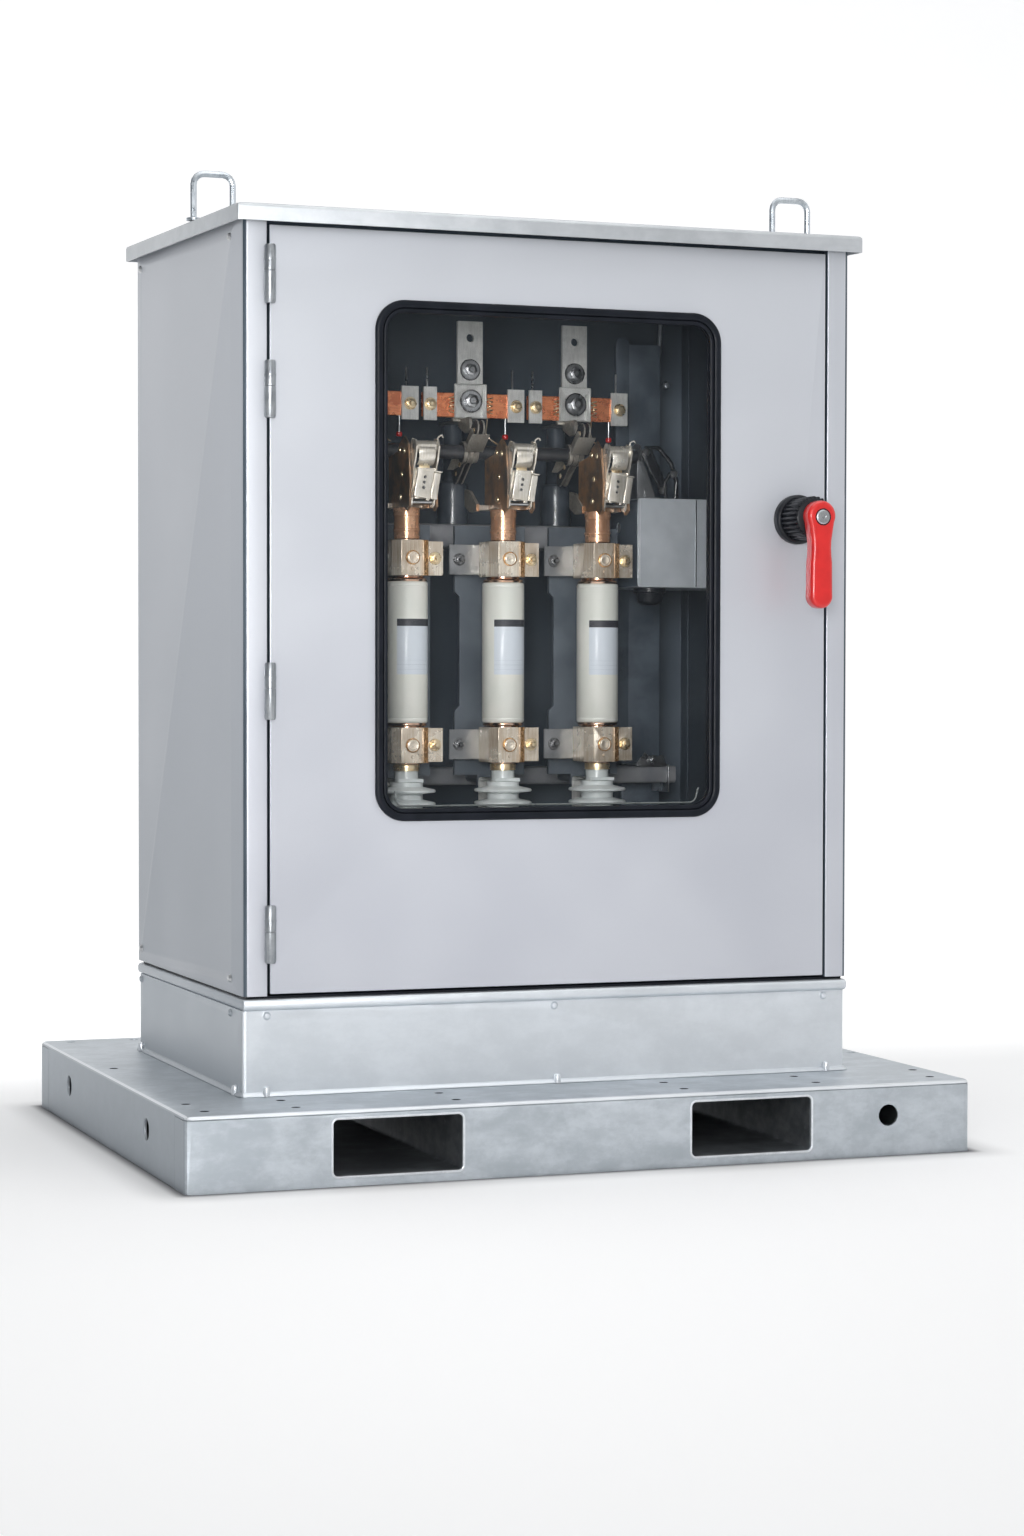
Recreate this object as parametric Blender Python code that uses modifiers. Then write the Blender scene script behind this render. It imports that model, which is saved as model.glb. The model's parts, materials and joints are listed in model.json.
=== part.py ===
"""Outdoor fused disconnect switch in a cabinet, on a plinth and a fork-lift base.

Metres, +Z up, origin at the middle of the footprint. The door is at -Y and X runs to the right.
Three phases stand side by side behind the window. Each has, from the top: a line bar, a contact bar,
a pair of knife blades on a common rotor, a latched head, a fuse in two clips and a post insulator.
The red handle on the door turns the rotor through a bevel gear pair and a parallel link.
"""
import math

import bmesh
import bpy
from mathutils import Matrix, Vector

# Gap between separate pieces that touch, and how far joined shapes run into each other
FIT = 0.0003
SEAT = 0.0005

# Fork-lift base
BASE_W = 1.200
BASE_D = 0.951
BASE_H = 0.107
DECK_T = 0.006
RAIL_T = 0.005
BASE_CORNER_R = 0.010
RAIL_RETURN = 0.060
SOLE_W = 0.045
POCKET_W = 0.190
POCKET_H = 0.079
POCKET_Z = 0.0144
POCKET_MID_X = -0.026
POCKET_PITCH = 0.539
FORK_TUBE_T = 0.003
BASE_HOLE_R = 0.016
BASE_HOLE_Z = 0.060
DECK_HOLE_R = 0.0072

# Plinth
PLINTH_W = 0.948
PLINTH_D = 0.616
PLINTH_T = 0.004
SCREW_INSET_SIDE = 0.036
SCREW_INSET_FRONT = 0.062
SCREW_INSET_BACK = 0.0165
PLINTH_TOP_Z = 0.230
BEAD_W = 0.006
CAP_OVERHANG_X = 0.002
CAP_OVERHANG_Y = 0.0083
CAP_H = 0.0165
CAP_FLANGE = 0.045
PLINTH_SEAL_H = 0.004

# Cabinet
SCREW_HEAD_R = 0.0065
CABINET_W = 0.948
CABINET_D = 0.627
SHEET_T = 0.002
CORNER_R = 0.008
STILE_W = 0.0365
STILE_DEPTH = 0.030
STILE_RETURN = 0.012
SEAL_LIP = 0.022
ROOF_TOP_Z = 1.3693
ROOF_SLOPE = math.radians(1.985)
ROOF_W = 0.975
ROOF_D = 0.676
ROOF_MID_Y = 0.003
ROOF_T = 0.003
ROOF_SKIRT = 0.0245
CABLE_W = 0.310
CABLE_D = 0.400
CABLE_MID_X = -0.025

# Lifting eyes
EYE_ROD_R = 0.005
EYE_SPAN = 0.060
EYE_H = 0.075
EYE_LEFT = (-0.449, -0.060)
EYE_RIGHT = (0.452, -0.150)

# Door
DOOR_GAP = 0.0025
DOOR_DEPTH = 0.025
DOOR_TOP_Z = 1.343
WINDOW_MID_X = -0.0085
WINDOW_MID_Z = 0.8707
GASKET_W = 0.5396
GASKET_H = 0.748
GASKET_R = 0.044
GASKET_BAND = 0.018
GASKET_PROUD = 0.006
GLASS_T = 0.004
GLASS_INSET = 0.011
CUTOUT_INSET = 0.007
DOOR_T = 0.0015
HINGE_R = 0.0075
HINGE_PIN_R = 0.004
HINGE_SPANS = ((1.2317, 1.3133), (1.0705, 1.1505), (0.6443, 0.7239), (0.2987, 0.3793))
HINGE_SPLIT = 0.45

# Handle
HANDLE_X = 0.387
HANDLE_Z = 0.942
BOSS_R = 0.037
BOSS_H = 0.014
KNOB_R = 0.032
KNOB_H = 0.052
KNOB_RIBS = 14
LEVER_T = 0.026
LEVER_HUB_R = 0.0225
LEVER_DROP = 0.135
LEVER_GRIP_W = 0.036
SHAFT_R = 0.006
HUB_SCREW_R = 0.0095
HUB_SCREW_T = 0.003

# Phases
FUSE_Y = -0.050
FUSE_MID_X = 0.014
FUSE_PITCH = 0.157
LINE_Y = 0.058
LINE_MID_X = -0.006
LINE_PITCH = 0.176

# Fuse stack, from the post insulator up
SHELF_Z = 0.384
POST_TOP_Z = 0.5445
LOAD_BAR_T = 0.005
STUD_TOP_Z = 0.571
FUSE_BODY_Z = (0.6345, 0.850)
FUSE_R = 0.0325
CAP_R = 0.025
CAP_RING_R = 0.031
CLIP_W = 0.059
CLIP_H = 0.054
CLIP_FIT = 0.0006
CLIP_LUG = 0.028
LOWER_CLIP_Z = 0.5735
UPPER_CLIP_Z = 0.859
SHED_R = 0.0445
NECK_R = 0.025
SHEDS = 5
SHED_PITCH = 0.0195
HEAD_TUBE_R = 0.0195
HEAD_TUBE_TOP_Z = 0.962

# Knife switch
ROTOR_Y = 0.020
ROTOR_Z = 1.055
ROTOR_R = 0.011
OPEN_ANGLE = math.radians(54.0)
KNIFE_SHIFT = -0.012
BLADE_REACH = 0.071
BLADE_W = 0.025
BLADE_T = 0.003
BLADE_HUB_R = 0.018
TONGUE_T = 0.005
TONGUE_CLEAR = 0.0006
CONTACT_Z = 1.131
CONTACT_H = 0.038
CONTACT_T = 0.010
CONTACT_LEFT = 0.076
CONTACT_RIGHT = 0.092
LINE_BAR_W = 0.042
LINE_BAR_T = 0.006
LINE_BAR_TOP_Z = 1.262
CLAMP_W = 0.054
CLAMP_T = 0.004

# Latches
LATCH_SHIFT = 0.010
LATCH_HALF_W = 0.019
LATCH_Y = -0.090
LATCH_Z = 0.970

# Steel frame behind the phases
UPRIGHT_Y = 0.165
UPRIGHT_W = 0.070
UPRIGHT_D = 0.030
UPRIGHT_TOP_Z = 1.250
UPRIGHT_RIGHT_X = 0.335
UPRIGHT_LEFT_X = -0.340
RAIL_SHEET_T = 0.003
UPPER_RAIL_Z = (0.910, 0.9475)
LOWER_RAIL_Z = (0.533, 0.5605)
RAIL_FRONT_Y = 0.100
POST_Y = 0.130
BOARD_W = 0.116
BOARD_T = 0.008
BOARD_Y = 0.010
BOARD_BOTTOM_Z = 0.552
STANDOFF_R = 0.009

# Mechanism
BOX_X = 0.235
BOX_Y = (-0.060, 0.098)
BOX_Z = (0.846, 0.985)
BOX_SPLIT_X = 0.332
SPINDLE_R = 0.008
SOCKET_R = 0.017
SOCKET_BORE_R = 0.012
SOCKET_DEPTH = 0.026
GEAR_MODULE = 0.002
SPINDLE_TEETH = 15
OUTPUT_TEETH = 25
CRANK_R = 0.022
CRANK_X = 0.2475
CRANK_T = 0.004
LINK_W = 0.012
PIN_R = 0.003
LINK_X = 0.2430
LINK_T = 0.004
ROTOR_END_LEFT = -0.262
ROTOR_END_RIGHT = 0.272
GLAND_X = 0.272
GLAND_Y = -0.020
GEAR_TAPER = 0.72

# Derived places
BASE_HALF_W = BASE_W / 2
BASE_HALF_D = BASE_D / 2
CAP_TOP_Z = PLINTH_TOP_Z + CAP_H
CABINET_Z = CAP_TOP_Z + PLINTH_SEAL_H
CABINET_HALF_W = CABINET_W / 2
CABINET_HALF_D = CABINET_D / 2
FRONT_Y = -CABINET_HALF_D
ROOF_FRONT_Y = ROOF_MID_Y - ROOF_D / 2
DOOR_LEFT = -CABINET_HALF_W + STILE_W + DOOR_GAP / 2
DOOR_RIGHT = CABINET_HALF_W - STILE_W + DOOR_GAP / 2
DOOR_LEFT_EDGE = DOOR_LEFT + DOOR_GAP / 2
DOOR_RIGHT_EDGE = CABINET_HALF_W - STILE_W - DOOR_GAP
DOOR_BOTTOM_Z = CABINET_Z + DOOR_GAP
HINGE_X = DOOR_LEFT
HINGE_Y = FRONT_Y - HINGE_R - FIT
LIP_Y = FRONT_Y + STILE_DEPTH
FLOOR_TOP_Z = CABINET_Z + SHEET_T
GEAR_Y = ROTOR_Y
DOOR_PIVOT = (HINGE_X, HINGE_Y, 0.0)
HANDLE_PIVOT = (HANDLE_X, FRONT_Y, HANDLE_Z)
PHASES = ("a", "b", "c")


def fuse_x(index):
    """X of a phase's fuse, counted from the left."""
    return FUSE_MID_X + (index - 1) * FUSE_PITCH


def line_x(index):
    """X of a phase's line bar."""
    return LINE_MID_X + (index - 1) * LINE_PITCH


def roof_z(y):
    """Height of the roof's top face at a depth."""
    return ROOF_TOP_Z + math.tan(ROOF_SLOPE) * (y - ROOF_FRONT_Y)


# Scene, collections and materials

def clear_scene():
    for old in list(bpy.data.objects):
        bpy.data.objects.remove(old)


def new_collection(name):
    made = bpy.data.collections.new(name)
    bpy.context.scene.collection.children.link(made)
    return made


clear_scene()
PARTS = new_collection("fused_disconnect_switch")
CUTTERS = new_collection("cutters")


def material(name, color, roughness, metallic):
    made = bpy.data.materials.new(name)
    made.use_nodes = True
    shader = made.node_tree.nodes["Principled BSDF"]
    shader.inputs["Base Color"].default_value = (*color, 1.0)
    shader.inputs["Roughness"].default_value = roughness
    shader.inputs["Metallic"].default_value = metallic
    made.diffuse_color = (*color, 1.0)
    return made


# Basic shapes, each returned as a new object in the parts collection

def add_object(mesh):
    made = bpy.data.objects.new("shape", mesh)
    PARTS.objects.link(made)
    return made


def from_bmesh(bm):
    bmesh.ops.recalc_face_normals(bm, faces=bm.faces)
    mesh = bpy.data.meshes.new("shape")
    bm.to_mesh(mesh)
    bm.free()
    return add_object(mesh)


def one_body(bm):
    """Whether the mesh is a single closed surface."""
    if any(len(edge.link_faces) != 2 for edge in bm.edges):
        return False
    bm.faces.ensure_lookup_table()
    reached = {bm.faces[0]}
    front = [bm.faces[0]]
    while front:
        face = front.pop()
        near = {other for edge in face.edges for other in edge.link_faces} - reached
        reached |= near
        front += near
    return len(reached) == len(bm.faces)


def evaluated_mesh(obj):
    """The object's mesh after its modifiers, in world place, and whether it is a single closed body.
    Doubled points are merged only as far as the surface needs it to close."""
    graph = bpy.context.evaluated_depsgraph_get()
    graph.update()
    mesh = bpy.data.meshes.new_from_object(obj.evaluated_get(graph))
    mesh.transform(obj.matrix_world)
    for merge in (0.0, 0.000001, 0.00001):
        bm = bmesh.new()
        bm.from_mesh(mesh)
        if merge:
            bmesh.ops.remove_doubles(bm, verts=bm.verts, dist=merge)
        whole = one_body(bm)
        if whole:
            bm.to_mesh(mesh)
            bmesh.ops.dissolve_limit(bm, angle_limit=math.radians(0.5), verts=bm.verts, edges=bm.edges)
            if one_body(bm):
                bm.to_mesh(mesh)
        bm.free()
        if whole:
            break
    return mesh, whole


def baked(obj):
    """The object with its modifiers applied, as a plain object."""
    mesh = evaluated_mesh(obj)[0]
    bpy.data.objects.remove(obj)
    return add_object(mesh)


def box(low, high, bevel=0.0, segments=2):
    """A block between two corners, with its edges rounded."""
    size = [high[axis] - low[axis] for axis in range(3)]
    middle = [(high[axis] + low[axis]) / 2 for axis in range(3)]
    bm = bmesh.new()
    bmesh.ops.create_cube(bm, size=1.0)
    bmesh.ops.scale(bm, vec=size, verts=bm.verts)
    bmesh.ops.translate(bm, vec=middle, verts=bm.verts)
    if bevel:
        bmesh.ops.bevel(bm, geom=bm.edges, offset=bevel, segments=segments, profile=0.5,
                        affect="EDGES", material=-1)
    return from_bmesh(bm)


TURNS = {
    "x": Matrix.Rotation(math.radians(90.0), 4, "Y"),
    "y": Matrix.Rotation(math.radians(-90.0), 4, "X"),
    "z": Matrix.Identity(4),
}


def rod(axis, center, radius, length, sides=16, top_radius=None):
    """A cylinder, or a cone, along X, Y or Z, centred on a point."""
    bm = bmesh.new()
    bmesh.ops.create_cone(bm, cap_ends=True, segments=sides, radius1=radius,
                          radius2=radius if top_radius is None else top_radius, depth=length,
                          matrix=Matrix.Translation(center) @ TURNS[axis])
    return from_bmesh(bm)


def turned(profile, center, axis="z", sides=24):
    """A solid turned about an axis. The profile runs down the outer side as (radius, height)."""
    mesh = bpy.data.meshes.new("profile")
    mesh.from_pydata([(radius, 0.0, height) for radius, height in profile],
                     [(index, index + 1) for index in range(len(profile) - 1)], [])
    made = add_object(mesh)
    made.matrix_world = Matrix.Translation(center) @ TURNS[axis]
    screw = made.modifiers.new("turn", "SCREW")
    screw.steps = sides
    screw.render_steps = sides
    screw.use_merge_vertices = True
    screw.merge_threshold = 0.00001
    bpy.context.view_layer.update()
    return baked(made)


# A flat outline is drawn in two axes of the part and given its thickness along the third
PLANES = {
    "xy": Matrix(((1, 0, 0, 0), (0, 1, 0, 0), (0, 0, 1, 0), (0, 0, 0, 1))),
    "xz": Matrix(((1, 0, 0, 0), (0, 0, -1, 0), (0, 1, 0, 0), (0, 0, 0, 1))),
    "yz": Matrix(((0, 0, 1, 0), (1, 0, 0, 0), (0, 1, 0, 0), (0, 0, 0, 1))),
}


def plate(plane, outlines, low, high):
    """A flat outline, with any holes as further outlines, between two places on the third axis."""
    curve = bpy.data.curves.new("outline", "CURVE")
    curve.dimensions = "2D"
    curve.fill_mode = "BOTH"
    curve.extrude = (high - low) / 2
    for outline in outlines:
        spline = curve.splines.new("POLY")
        spline.points.add(len(outline) - 1)
        spline.use_cyclic_u = True
        for point, (first, second) in zip(spline.points, outline):
            point.co = (first, second, 0.0, 1.0)
    made = bpy.data.objects.new("outline", curve)
    PARTS.objects.link(made)
    middle = (low + high) / 2
    side = -middle if plane == "xz" else middle
    made.matrix_world = PLANES[plane] @ Matrix.Translation((0.0, 0.0, side))
    bpy.context.view_layer.update()
    return baked(made)


def bent_rod(points, radius, sides_step=2):
    """A round rod along points, with closed ends."""
    curve = bpy.data.curves.new("rod", "CURVE")
    curve.dimensions = "3D"
    curve.bevel_depth = radius
    curve.bevel_resolution = sides_step
    curve.use_fill_caps = True
    spline = curve.splines.new("POLY")
    spline.points.add(len(points) - 1)
    for point, place in zip(spline.points, points):
        point.co = (*place, 1.0)
    made = bpy.data.objects.new("rod", curve)
    PARTS.objects.link(made)
    bpy.context.view_layer.update()
    return baked(made)


# Outlines

def arc(center, radius, start, end, steps):
    """Points on an arc, angles in degrees."""
    return [(center[0] + radius * math.cos(math.radians(start + (end - start) * step / steps)),
             center[1] + radius * math.sin(math.radians(start + (end - start) * step / steps)))
            for step in range(steps + 1)]


def circle(center, radius, sides=16):
    return arc(center, radius, 0.0, 360.0, sides)[:-1]


def rounded(points, radii, steps=3):
    """The outline with each corner rounded by its own radius; 0 keeps it sharp."""
    made = []
    for index, corner in enumerate(points):
        radius = radii[index] if isinstance(radii, (list, tuple)) else radii
        here = Vector(corner)
        back = (Vector(points[index - 1]) - here).normalized()
        ahead = (Vector(points[(index + 1) % len(points)]) - here).normalized()
        half = back.angle(ahead) / 2
        if radius <= 0.0 or half > math.radians(89.0):
            made.append(tuple(here))
            continue
        reach = radius / math.tan(half)
        middle = here + (back + ahead).normalized() * (radius / math.sin(half))
        first = here + back * reach - middle
        turn = first.angle_signed(here + ahead * reach - middle)
        for step in range(steps + 1):
            spoke = Matrix.Rotation(-turn * step / steps, 2) @ first
            made.append(tuple(middle + spoke))
    return made


def rectangle(low, high, radius=0.0, steps=3):
    corners = [(low[0], low[1]), (high[0], low[1]), (high[0], high[1]), (low[0], high[1])]
    return rounded(corners, radius, steps) if radius else corners


def centered(middle, width, height, radius=0.0, steps=3):
    low = (middle[0] - width / 2, middle[1] - height / 2)
    return rectangle(low, (middle[0] + width / 2, middle[1] + height / 2), radius, steps)


def folded(points, thickness, bends, steps=2):
    """The outline of a folded sheet: one face runs through the points, the sheet is to their left.

    A negative thickness puts the sheet to their right. Each bend is the radius of its outer side.
    """
    count = len(points)
    side = 1.0 if thickness > 0 else -1.0
    radii = bends if isinstance(bends, (list, tuple)) else [bends] * count
    other, face_r, other_r = [], [], []
    for index, corner in enumerate(points):
        here = Vector(corner)
        runs = []
        if index > 0:
            runs.append((here - Vector(points[index - 1])).normalized())
        if index < count - 1:
            runs.append((Vector(points[index + 1]) - here).normalized())
        normals = [Vector((-run.y, run.x)) for run in runs]
        normal = sum(normals, Vector((0.0, 0.0))).normalized()
        other.append(tuple(here + normal * (thickness / normal.dot(normals[0]))))
        if len(runs) == 1:
            face_r.append(0.0)
            other_r.append(0.0)
            continue
        inside = max(radii[index] - abs(thickness), 0.0)
        wraps = runs[0].cross(runs[1]) * side > 0
        face_r.append(radii[index] if wraps else inside)
        other_r.append(inside if wraps else radii[index])
    return rounded(points + other[::-1], face_r + other_r[::-1], steps)


# Joining, cutting and finishing

def combine(base, others, operation):
    """The base with the others cut away or welded on, one after another."""
    for other in others:
        PARTS.objects.unlink(other)
        CUTTERS.objects.link(other)
        other.hide_render = True
        other.display_type = "WIRE"
        change = base.modifiers.new(operation.lower(), "BOOLEAN")
        change.operation = operation
        change.object = other
        change.solver = "EXACT"
    mesh, whole = evaluated_mesh(base)
    if not whole:
        for change in base.modifiers:
            change.solver = "MANIFOLD"
        mesh = evaluated_mesh(base)[0]
    for other in others:
        other.hide_viewport = True
    bpy.data.objects.remove(base)
    return add_object(mesh)


def cut(base, *cutters):
    return combine(base, cutters, "DIFFERENCE")


def weld(base, *others):
    return combine(base, others, "UNION")


def mirrored(shape):
    """A copy reflected to the other side of the middle plane."""
    mesh = shape.data.copy()
    mesh.transform(Matrix.Scale(-1.0, 4, (1.0, 0.0, 0.0)))
    mesh.flip_normals()
    return add_object(mesh)


def spun(shape, center, axis, angle):
    """The shape turned about a line through a point."""
    place = Matrix.Translation(center)
    shape.data.transform(place @ Matrix.Rotation(angle, 4, axis.upper()) @ place.inverted())
    return shape


def raised_to_roof(shape, drop):
    """Pull the shape's top edge up to follow the sloping roof, a fixed drop below its top face."""
    highest = max(vertex.co.z for vertex in shape.data.vertices)
    for vertex in shape.data.vertices:
        if vertex.co.z > highest - 0.0001:
            vertex.co.z = roof_z(vertex.co.y) - drop
    return shape


def finish(name, shape, surface, pivot=(0.0, 0.0, 0.0), smooth=True):
    """Name the shape, give it its material and put its origin on its pivot."""
    shape.name = name
    shape.data.name = name
    shape.data.transform(Matrix.Translation(-Vector(pivot)))
    shape.location = pivot
    shape.data.materials.clear()
    shape.data.materials.append(surface)
    if smooth:
        shape.data.shade_smooth()
        shape.data.set_sharp_from_angle(angle=math.radians(35.0))
    return shape


def bolt(axis, seat, direction, radius, height):
    """A hexagon head standing on a seat point; direction is +1 or -1 along the axis."""
    place = list(seat)
    place["xyz".index(axis)] += direction * (height / 2 - SEAT)
    return rod(axis, place, radius, height, 6)


def softened(shape, width, chosen, segments=2):
    """Round the sharp edges that a test picks by their two end points."""
    bm = bmesh.new()
    bm.from_mesh(shape.data)
    edges = [edge for edge in bm.edges
             if len(edge.link_faces) == 2 and edge.calc_face_angle() > math.radians(50.0)
             and chosen(edge.verts[0].co, edge.verts[1].co)]
    bmesh.ops.bevel(bm, geom=edges, offset=width, segments=segments, profile=0.5,
                    affect="EDGES", material=-1)
    bm.to_mesh(shape.data)
    bm.free()
    return shape


def tray(low, high, open_side, thickness, bend):
    """A folded tray: a box open on one side, its outer edges rounded, its sheet turned inwards."""
    axis = "xyz".index(open_side[1])
    end = high[axis] if open_side[0] == "+" else low[axis]
    bm = bmesh.new()
    bmesh.ops.create_cube(bm, size=1.0)
    bmesh.ops.scale(bm, vec=[high[i] - low[i] for i in range(3)], verts=bm.verts)
    bmesh.ops.translate(bm, vec=[(high[i] + low[i]) / 2 for i in range(3)], verts=bm.verts)
    lid = [face for face in bm.faces if abs(face.calc_center_median()[axis] - end) < 0.00001]
    bmesh.ops.delete(bm, geom=lid, context="FACES_ONLY")
    rims = [edge for edge in bm.edges if len(edge.link_faces) == 1]
    bends = [edge for edge in bm.edges if edge not in rims]
    bmesh.ops.bevel(bm, geom=bends, offset=bend, segments=2, profile=0.5, affect="EDGES", material=-1)
    shape = from_bmesh(bm)
    shell = shape.modifiers.new("sheet", "SOLIDIFY")
    shell.thickness = thickness
    shell.offset = -1.0
    shell.use_even_offset = True
    return baked(shape)


# Finishes
GALVANISED = material("galvanised_steel", (0.50, 0.53, 0.56), 0.45, 0.8)
SHEET = material("cabinet_sheet", (0.66, 0.67, 0.71), 0.40, 0.4)
DARK_SHEET = material("interior_sheet", (0.10, 0.12, 0.14), 0.50, 0.3)
ZINC = material("zinc_plated_steel", (0.60, 0.61, 0.62), 0.30, 0.9)
RUBBER = material("black_rubber", (0.02, 0.025, 0.03), 0.60, 0.0)
BLACK = material("black_plastic", (0.02, 0.02, 0.024), 0.45, 0.0)
RED = material("red_plastic", (0.60, 0.02, 0.015), 0.35, 0.0)
GLASS = material("window_glass_clear", (0.80, 0.86, 0.88), 0.05, 0.0)
COPPER = material("copper", (0.72, 0.33, 0.16), 0.30, 1.0)
TINNED = material("tinned_copper", (0.62, 0.62, 0.58), 0.35, 0.9)
BRASS = material("brass", (0.62, 0.50, 0.30), 0.25, 1.0)
CHROME = material("bright_steel", (0.70, 0.69, 0.66), 0.18, 1.0)
BRONZE = material("dark_bronze", (0.16, 0.13, 0.10), 0.35, 0.8)
CERAMIC = material("fuse_ceramic", (0.68, 0.69, 0.65), 0.35, 0.0)
RESIN = material("pale_resin", (0.62, 0.67, 0.66), 0.35, 0.0)
DARK_RESIN = material("dark_resin", (0.07, 0.08, 0.10), 0.40, 0.0)
BOARD = material("insulating_board", (0.24, 0.27, 0.30), 0.55, 0.0)
ROTOR_ROD = material("glass_fibre_rod", (0.10, 0.10, 0.11), 0.45, 0.0)
BOX_PAINT = material("mechanism_paint", (0.55, 0.58, 0.60), 0.40, 0.3)


# Fork-lift base

def pocket_middles():
    return [POCKET_MID_X + side * POCKET_PITCH / 2 for side in (-1, 1)]


def pocket_outline(middle, grow=0.0):
    return centered((middle, POCKET_Z + POCKET_H / 2), POCKET_W + 2 * grow, POCKET_H + 2 * grow,
                    0.005 + grow, 2)


def cable_outline():
    return centered((CABLE_MID_X, 0.0), CABLE_W, CABLE_D, 0.020, 2)


def deck_holes():
    """Fixing holes in the deck, beside the plinth and along its front."""
    front = -BASE_HALF_D + 0.0505
    across = (-BASE_HALF_W + 0.170, -0.194, 0.157, BASE_HALF_W - 0.231)
    places = [(x, front + shift) for x in across for shift in (-0.002, 0.073)]
    places += [(-BASE_HALF_W + 0.040, front), (-BASE_HALF_W + 0.034, front + 0.080)]
    back = BASE_HALF_D - 0.0295
    places += [(-BASE_HALF_W + 0.031, 0.082), (-BASE_HALF_W + 0.044, back), (-BASE_HALF_W + 0.149, back)]
    places += [(BASE_HALF_W - 0.041, front), (BASE_HALF_W - 0.027, front + 0.082)]
    places += [(BASE_HALF_W - 0.017, -0.114)]
    return places


def base_deck():
    """The deck plate with its two long sides, soles and holes."""
    outlines = [centered((0.0, 0.0), BASE_W, BASE_D, BASE_CORNER_R, 2), cable_outline()]
    outlines += [circle(place, DECK_HOLE_R, 8) for place in deck_holes()]
    shape = plate("xy", outlines, BASE_H - DECK_T, BASE_H)
    edge_x = BASE_HALF_W - BASE_CORNER_R - 0.0001
    edge_y = BASE_HALF_D - BASE_CORNER_R - 0.0001

    def top_rim(first, second):
        outside = all(abs(p.x) > edge_x or abs(p.y) > edge_y for p in (first, second))
        return outside and min(first.z, second.z) > BASE_H - 0.0001

    left = base_side()
    finish("base_deck", weld(softened(shape, DECK_T * 0.8, top_rim), left, mirrored(left)), GALVANISED)


def base_end_rails():
    """A plate folded round both corners, with a sole inside and the fork openings, at each end."""
    y = -BASE_HALF_D
    turn = y + RAIL_RETURN
    plan = [(-BASE_HALF_W, turn), (-BASE_HALF_W, y), (BASE_HALF_W, y), (BASE_HALF_W, turn)]
    wall = plate("xy", [folded(plan, RAIL_T, BASE_CORNER_R)], 0.0, BASE_H - DECK_T - FIT)
    inside = BASE_HALF_W - RAIL_T / 2
    sole = box((-inside, y + RAIL_T / 2, 0.0), (inside, y + SOLE_W, RAIL_T))
    rail = weld(wall, sole)
    for name, side in (("base_front_rail", 1.0), ("base_rear_rail", -1.0)):
        mesh = rail.data.copy()
        mesh.transform(Matrix.Scale(side, 4, (0.0, 1.0, 0.0)))
        if side < 0:
            mesh.flip_normals()
        end = y * side
        openings = [plate("xz", [pocket_outline(middle)], end - 0.02, end + 0.02)
                    for middle in pocket_middles()]
        if side > 0:
            openings.append(rod("y", (BASE_HALF_W - 0.136, y, BASE_HOLE_Z), BASE_HOLE_R, 0.04, 14))
        finish(name, cut(add_object(mesh), *openings), GALVANISED)
    bpy.data.objects.remove(rail)


def base_side():
    """The left side plate between the end rails, with its sole and two round holes."""
    reach = BASE_HALF_D - RAIL_RETURN - FIT
    profile = [(-BASE_HALF_W + SOLE_W, 0.0), (-BASE_HALF_W, 0.0), (-BASE_HALF_W, BASE_H - DECK_T + SEAT)]
    side = plate("xz", [folded(profile[::-1], RAIL_T, 0.0)], -reach, reach)
    holes = [rod("x", (-BASE_HALF_W, y, BASE_HOLE_Z), BASE_HOLE_R, 0.04, 14) for y in (0.2575, -0.252)]
    return cut(side, *holes)


def fork_tube(name, middle):
    reach = BASE_HALF_D - RAIL_T - FIT
    outlines = [pocket_outline(middle, FORK_TUBE_T), pocket_outline(middle)]
    finish(name, plate("xz", outlines, -reach, reach), GALVANISED)


# Plinth

def plinth_frame():
    """Welded walls with a foot bead, and a row of screws under the cap."""
    outer = centered((0.0, 0.0), PLINTH_W, PLINTH_D, 0.006, 2)
    inner = centered((0.0, 0.0), PLINTH_W - 2 * PLINTH_T, PLINTH_D - 2 * PLINTH_T)
    walls = plate("xy", [outer, inner], BASE_H + FIT, PLINTH_TOP_Z)
    bead = plate("xy", [centered((0.0, 0.0), PLINTH_W + 2 * BEAD_W, PLINTH_D + 2 * BEAD_W, 0.010, 2),
                        centered((0.0, 0.0), PLINTH_W - PLINTH_T, PLINTH_D - PLINTH_T)],
                 BASE_H + FIT, BASE_H + BEAD_W)

    def upper_rim(first, second):
        outside = all(abs(p.x) > PLINTH_W / 2 or abs(p.y) > PLINTH_D / 2 for p in (first, second))
        return outside and min(first.z, second.z) > BASE_H + BEAD_W - 0.0001

    screws = []
    high = PLINTH_TOP_Z - 0.008
    reach = PLINTH_W / 2 - SCREW_INSET_SIDE
    for side in (-1, 1):
        for x in (-reach, 0.0, reach):
            screws.append(dome_screw("y", (x, side * PLINTH_D / 2, high), side))
        for y in (-PLINTH_D / 2 + SCREW_INSET_FRONT, PLINTH_D / 2 - SCREW_INSET_BACK):
            screws.append(dome_screw("x", (side * PLINTH_W / 2, y, high), side))
    finish("plinth_frame", weld(walls, softened(bead, BEAD_W * 0.7, upper_rim, 1), *screws), GALVANISED)


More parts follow.
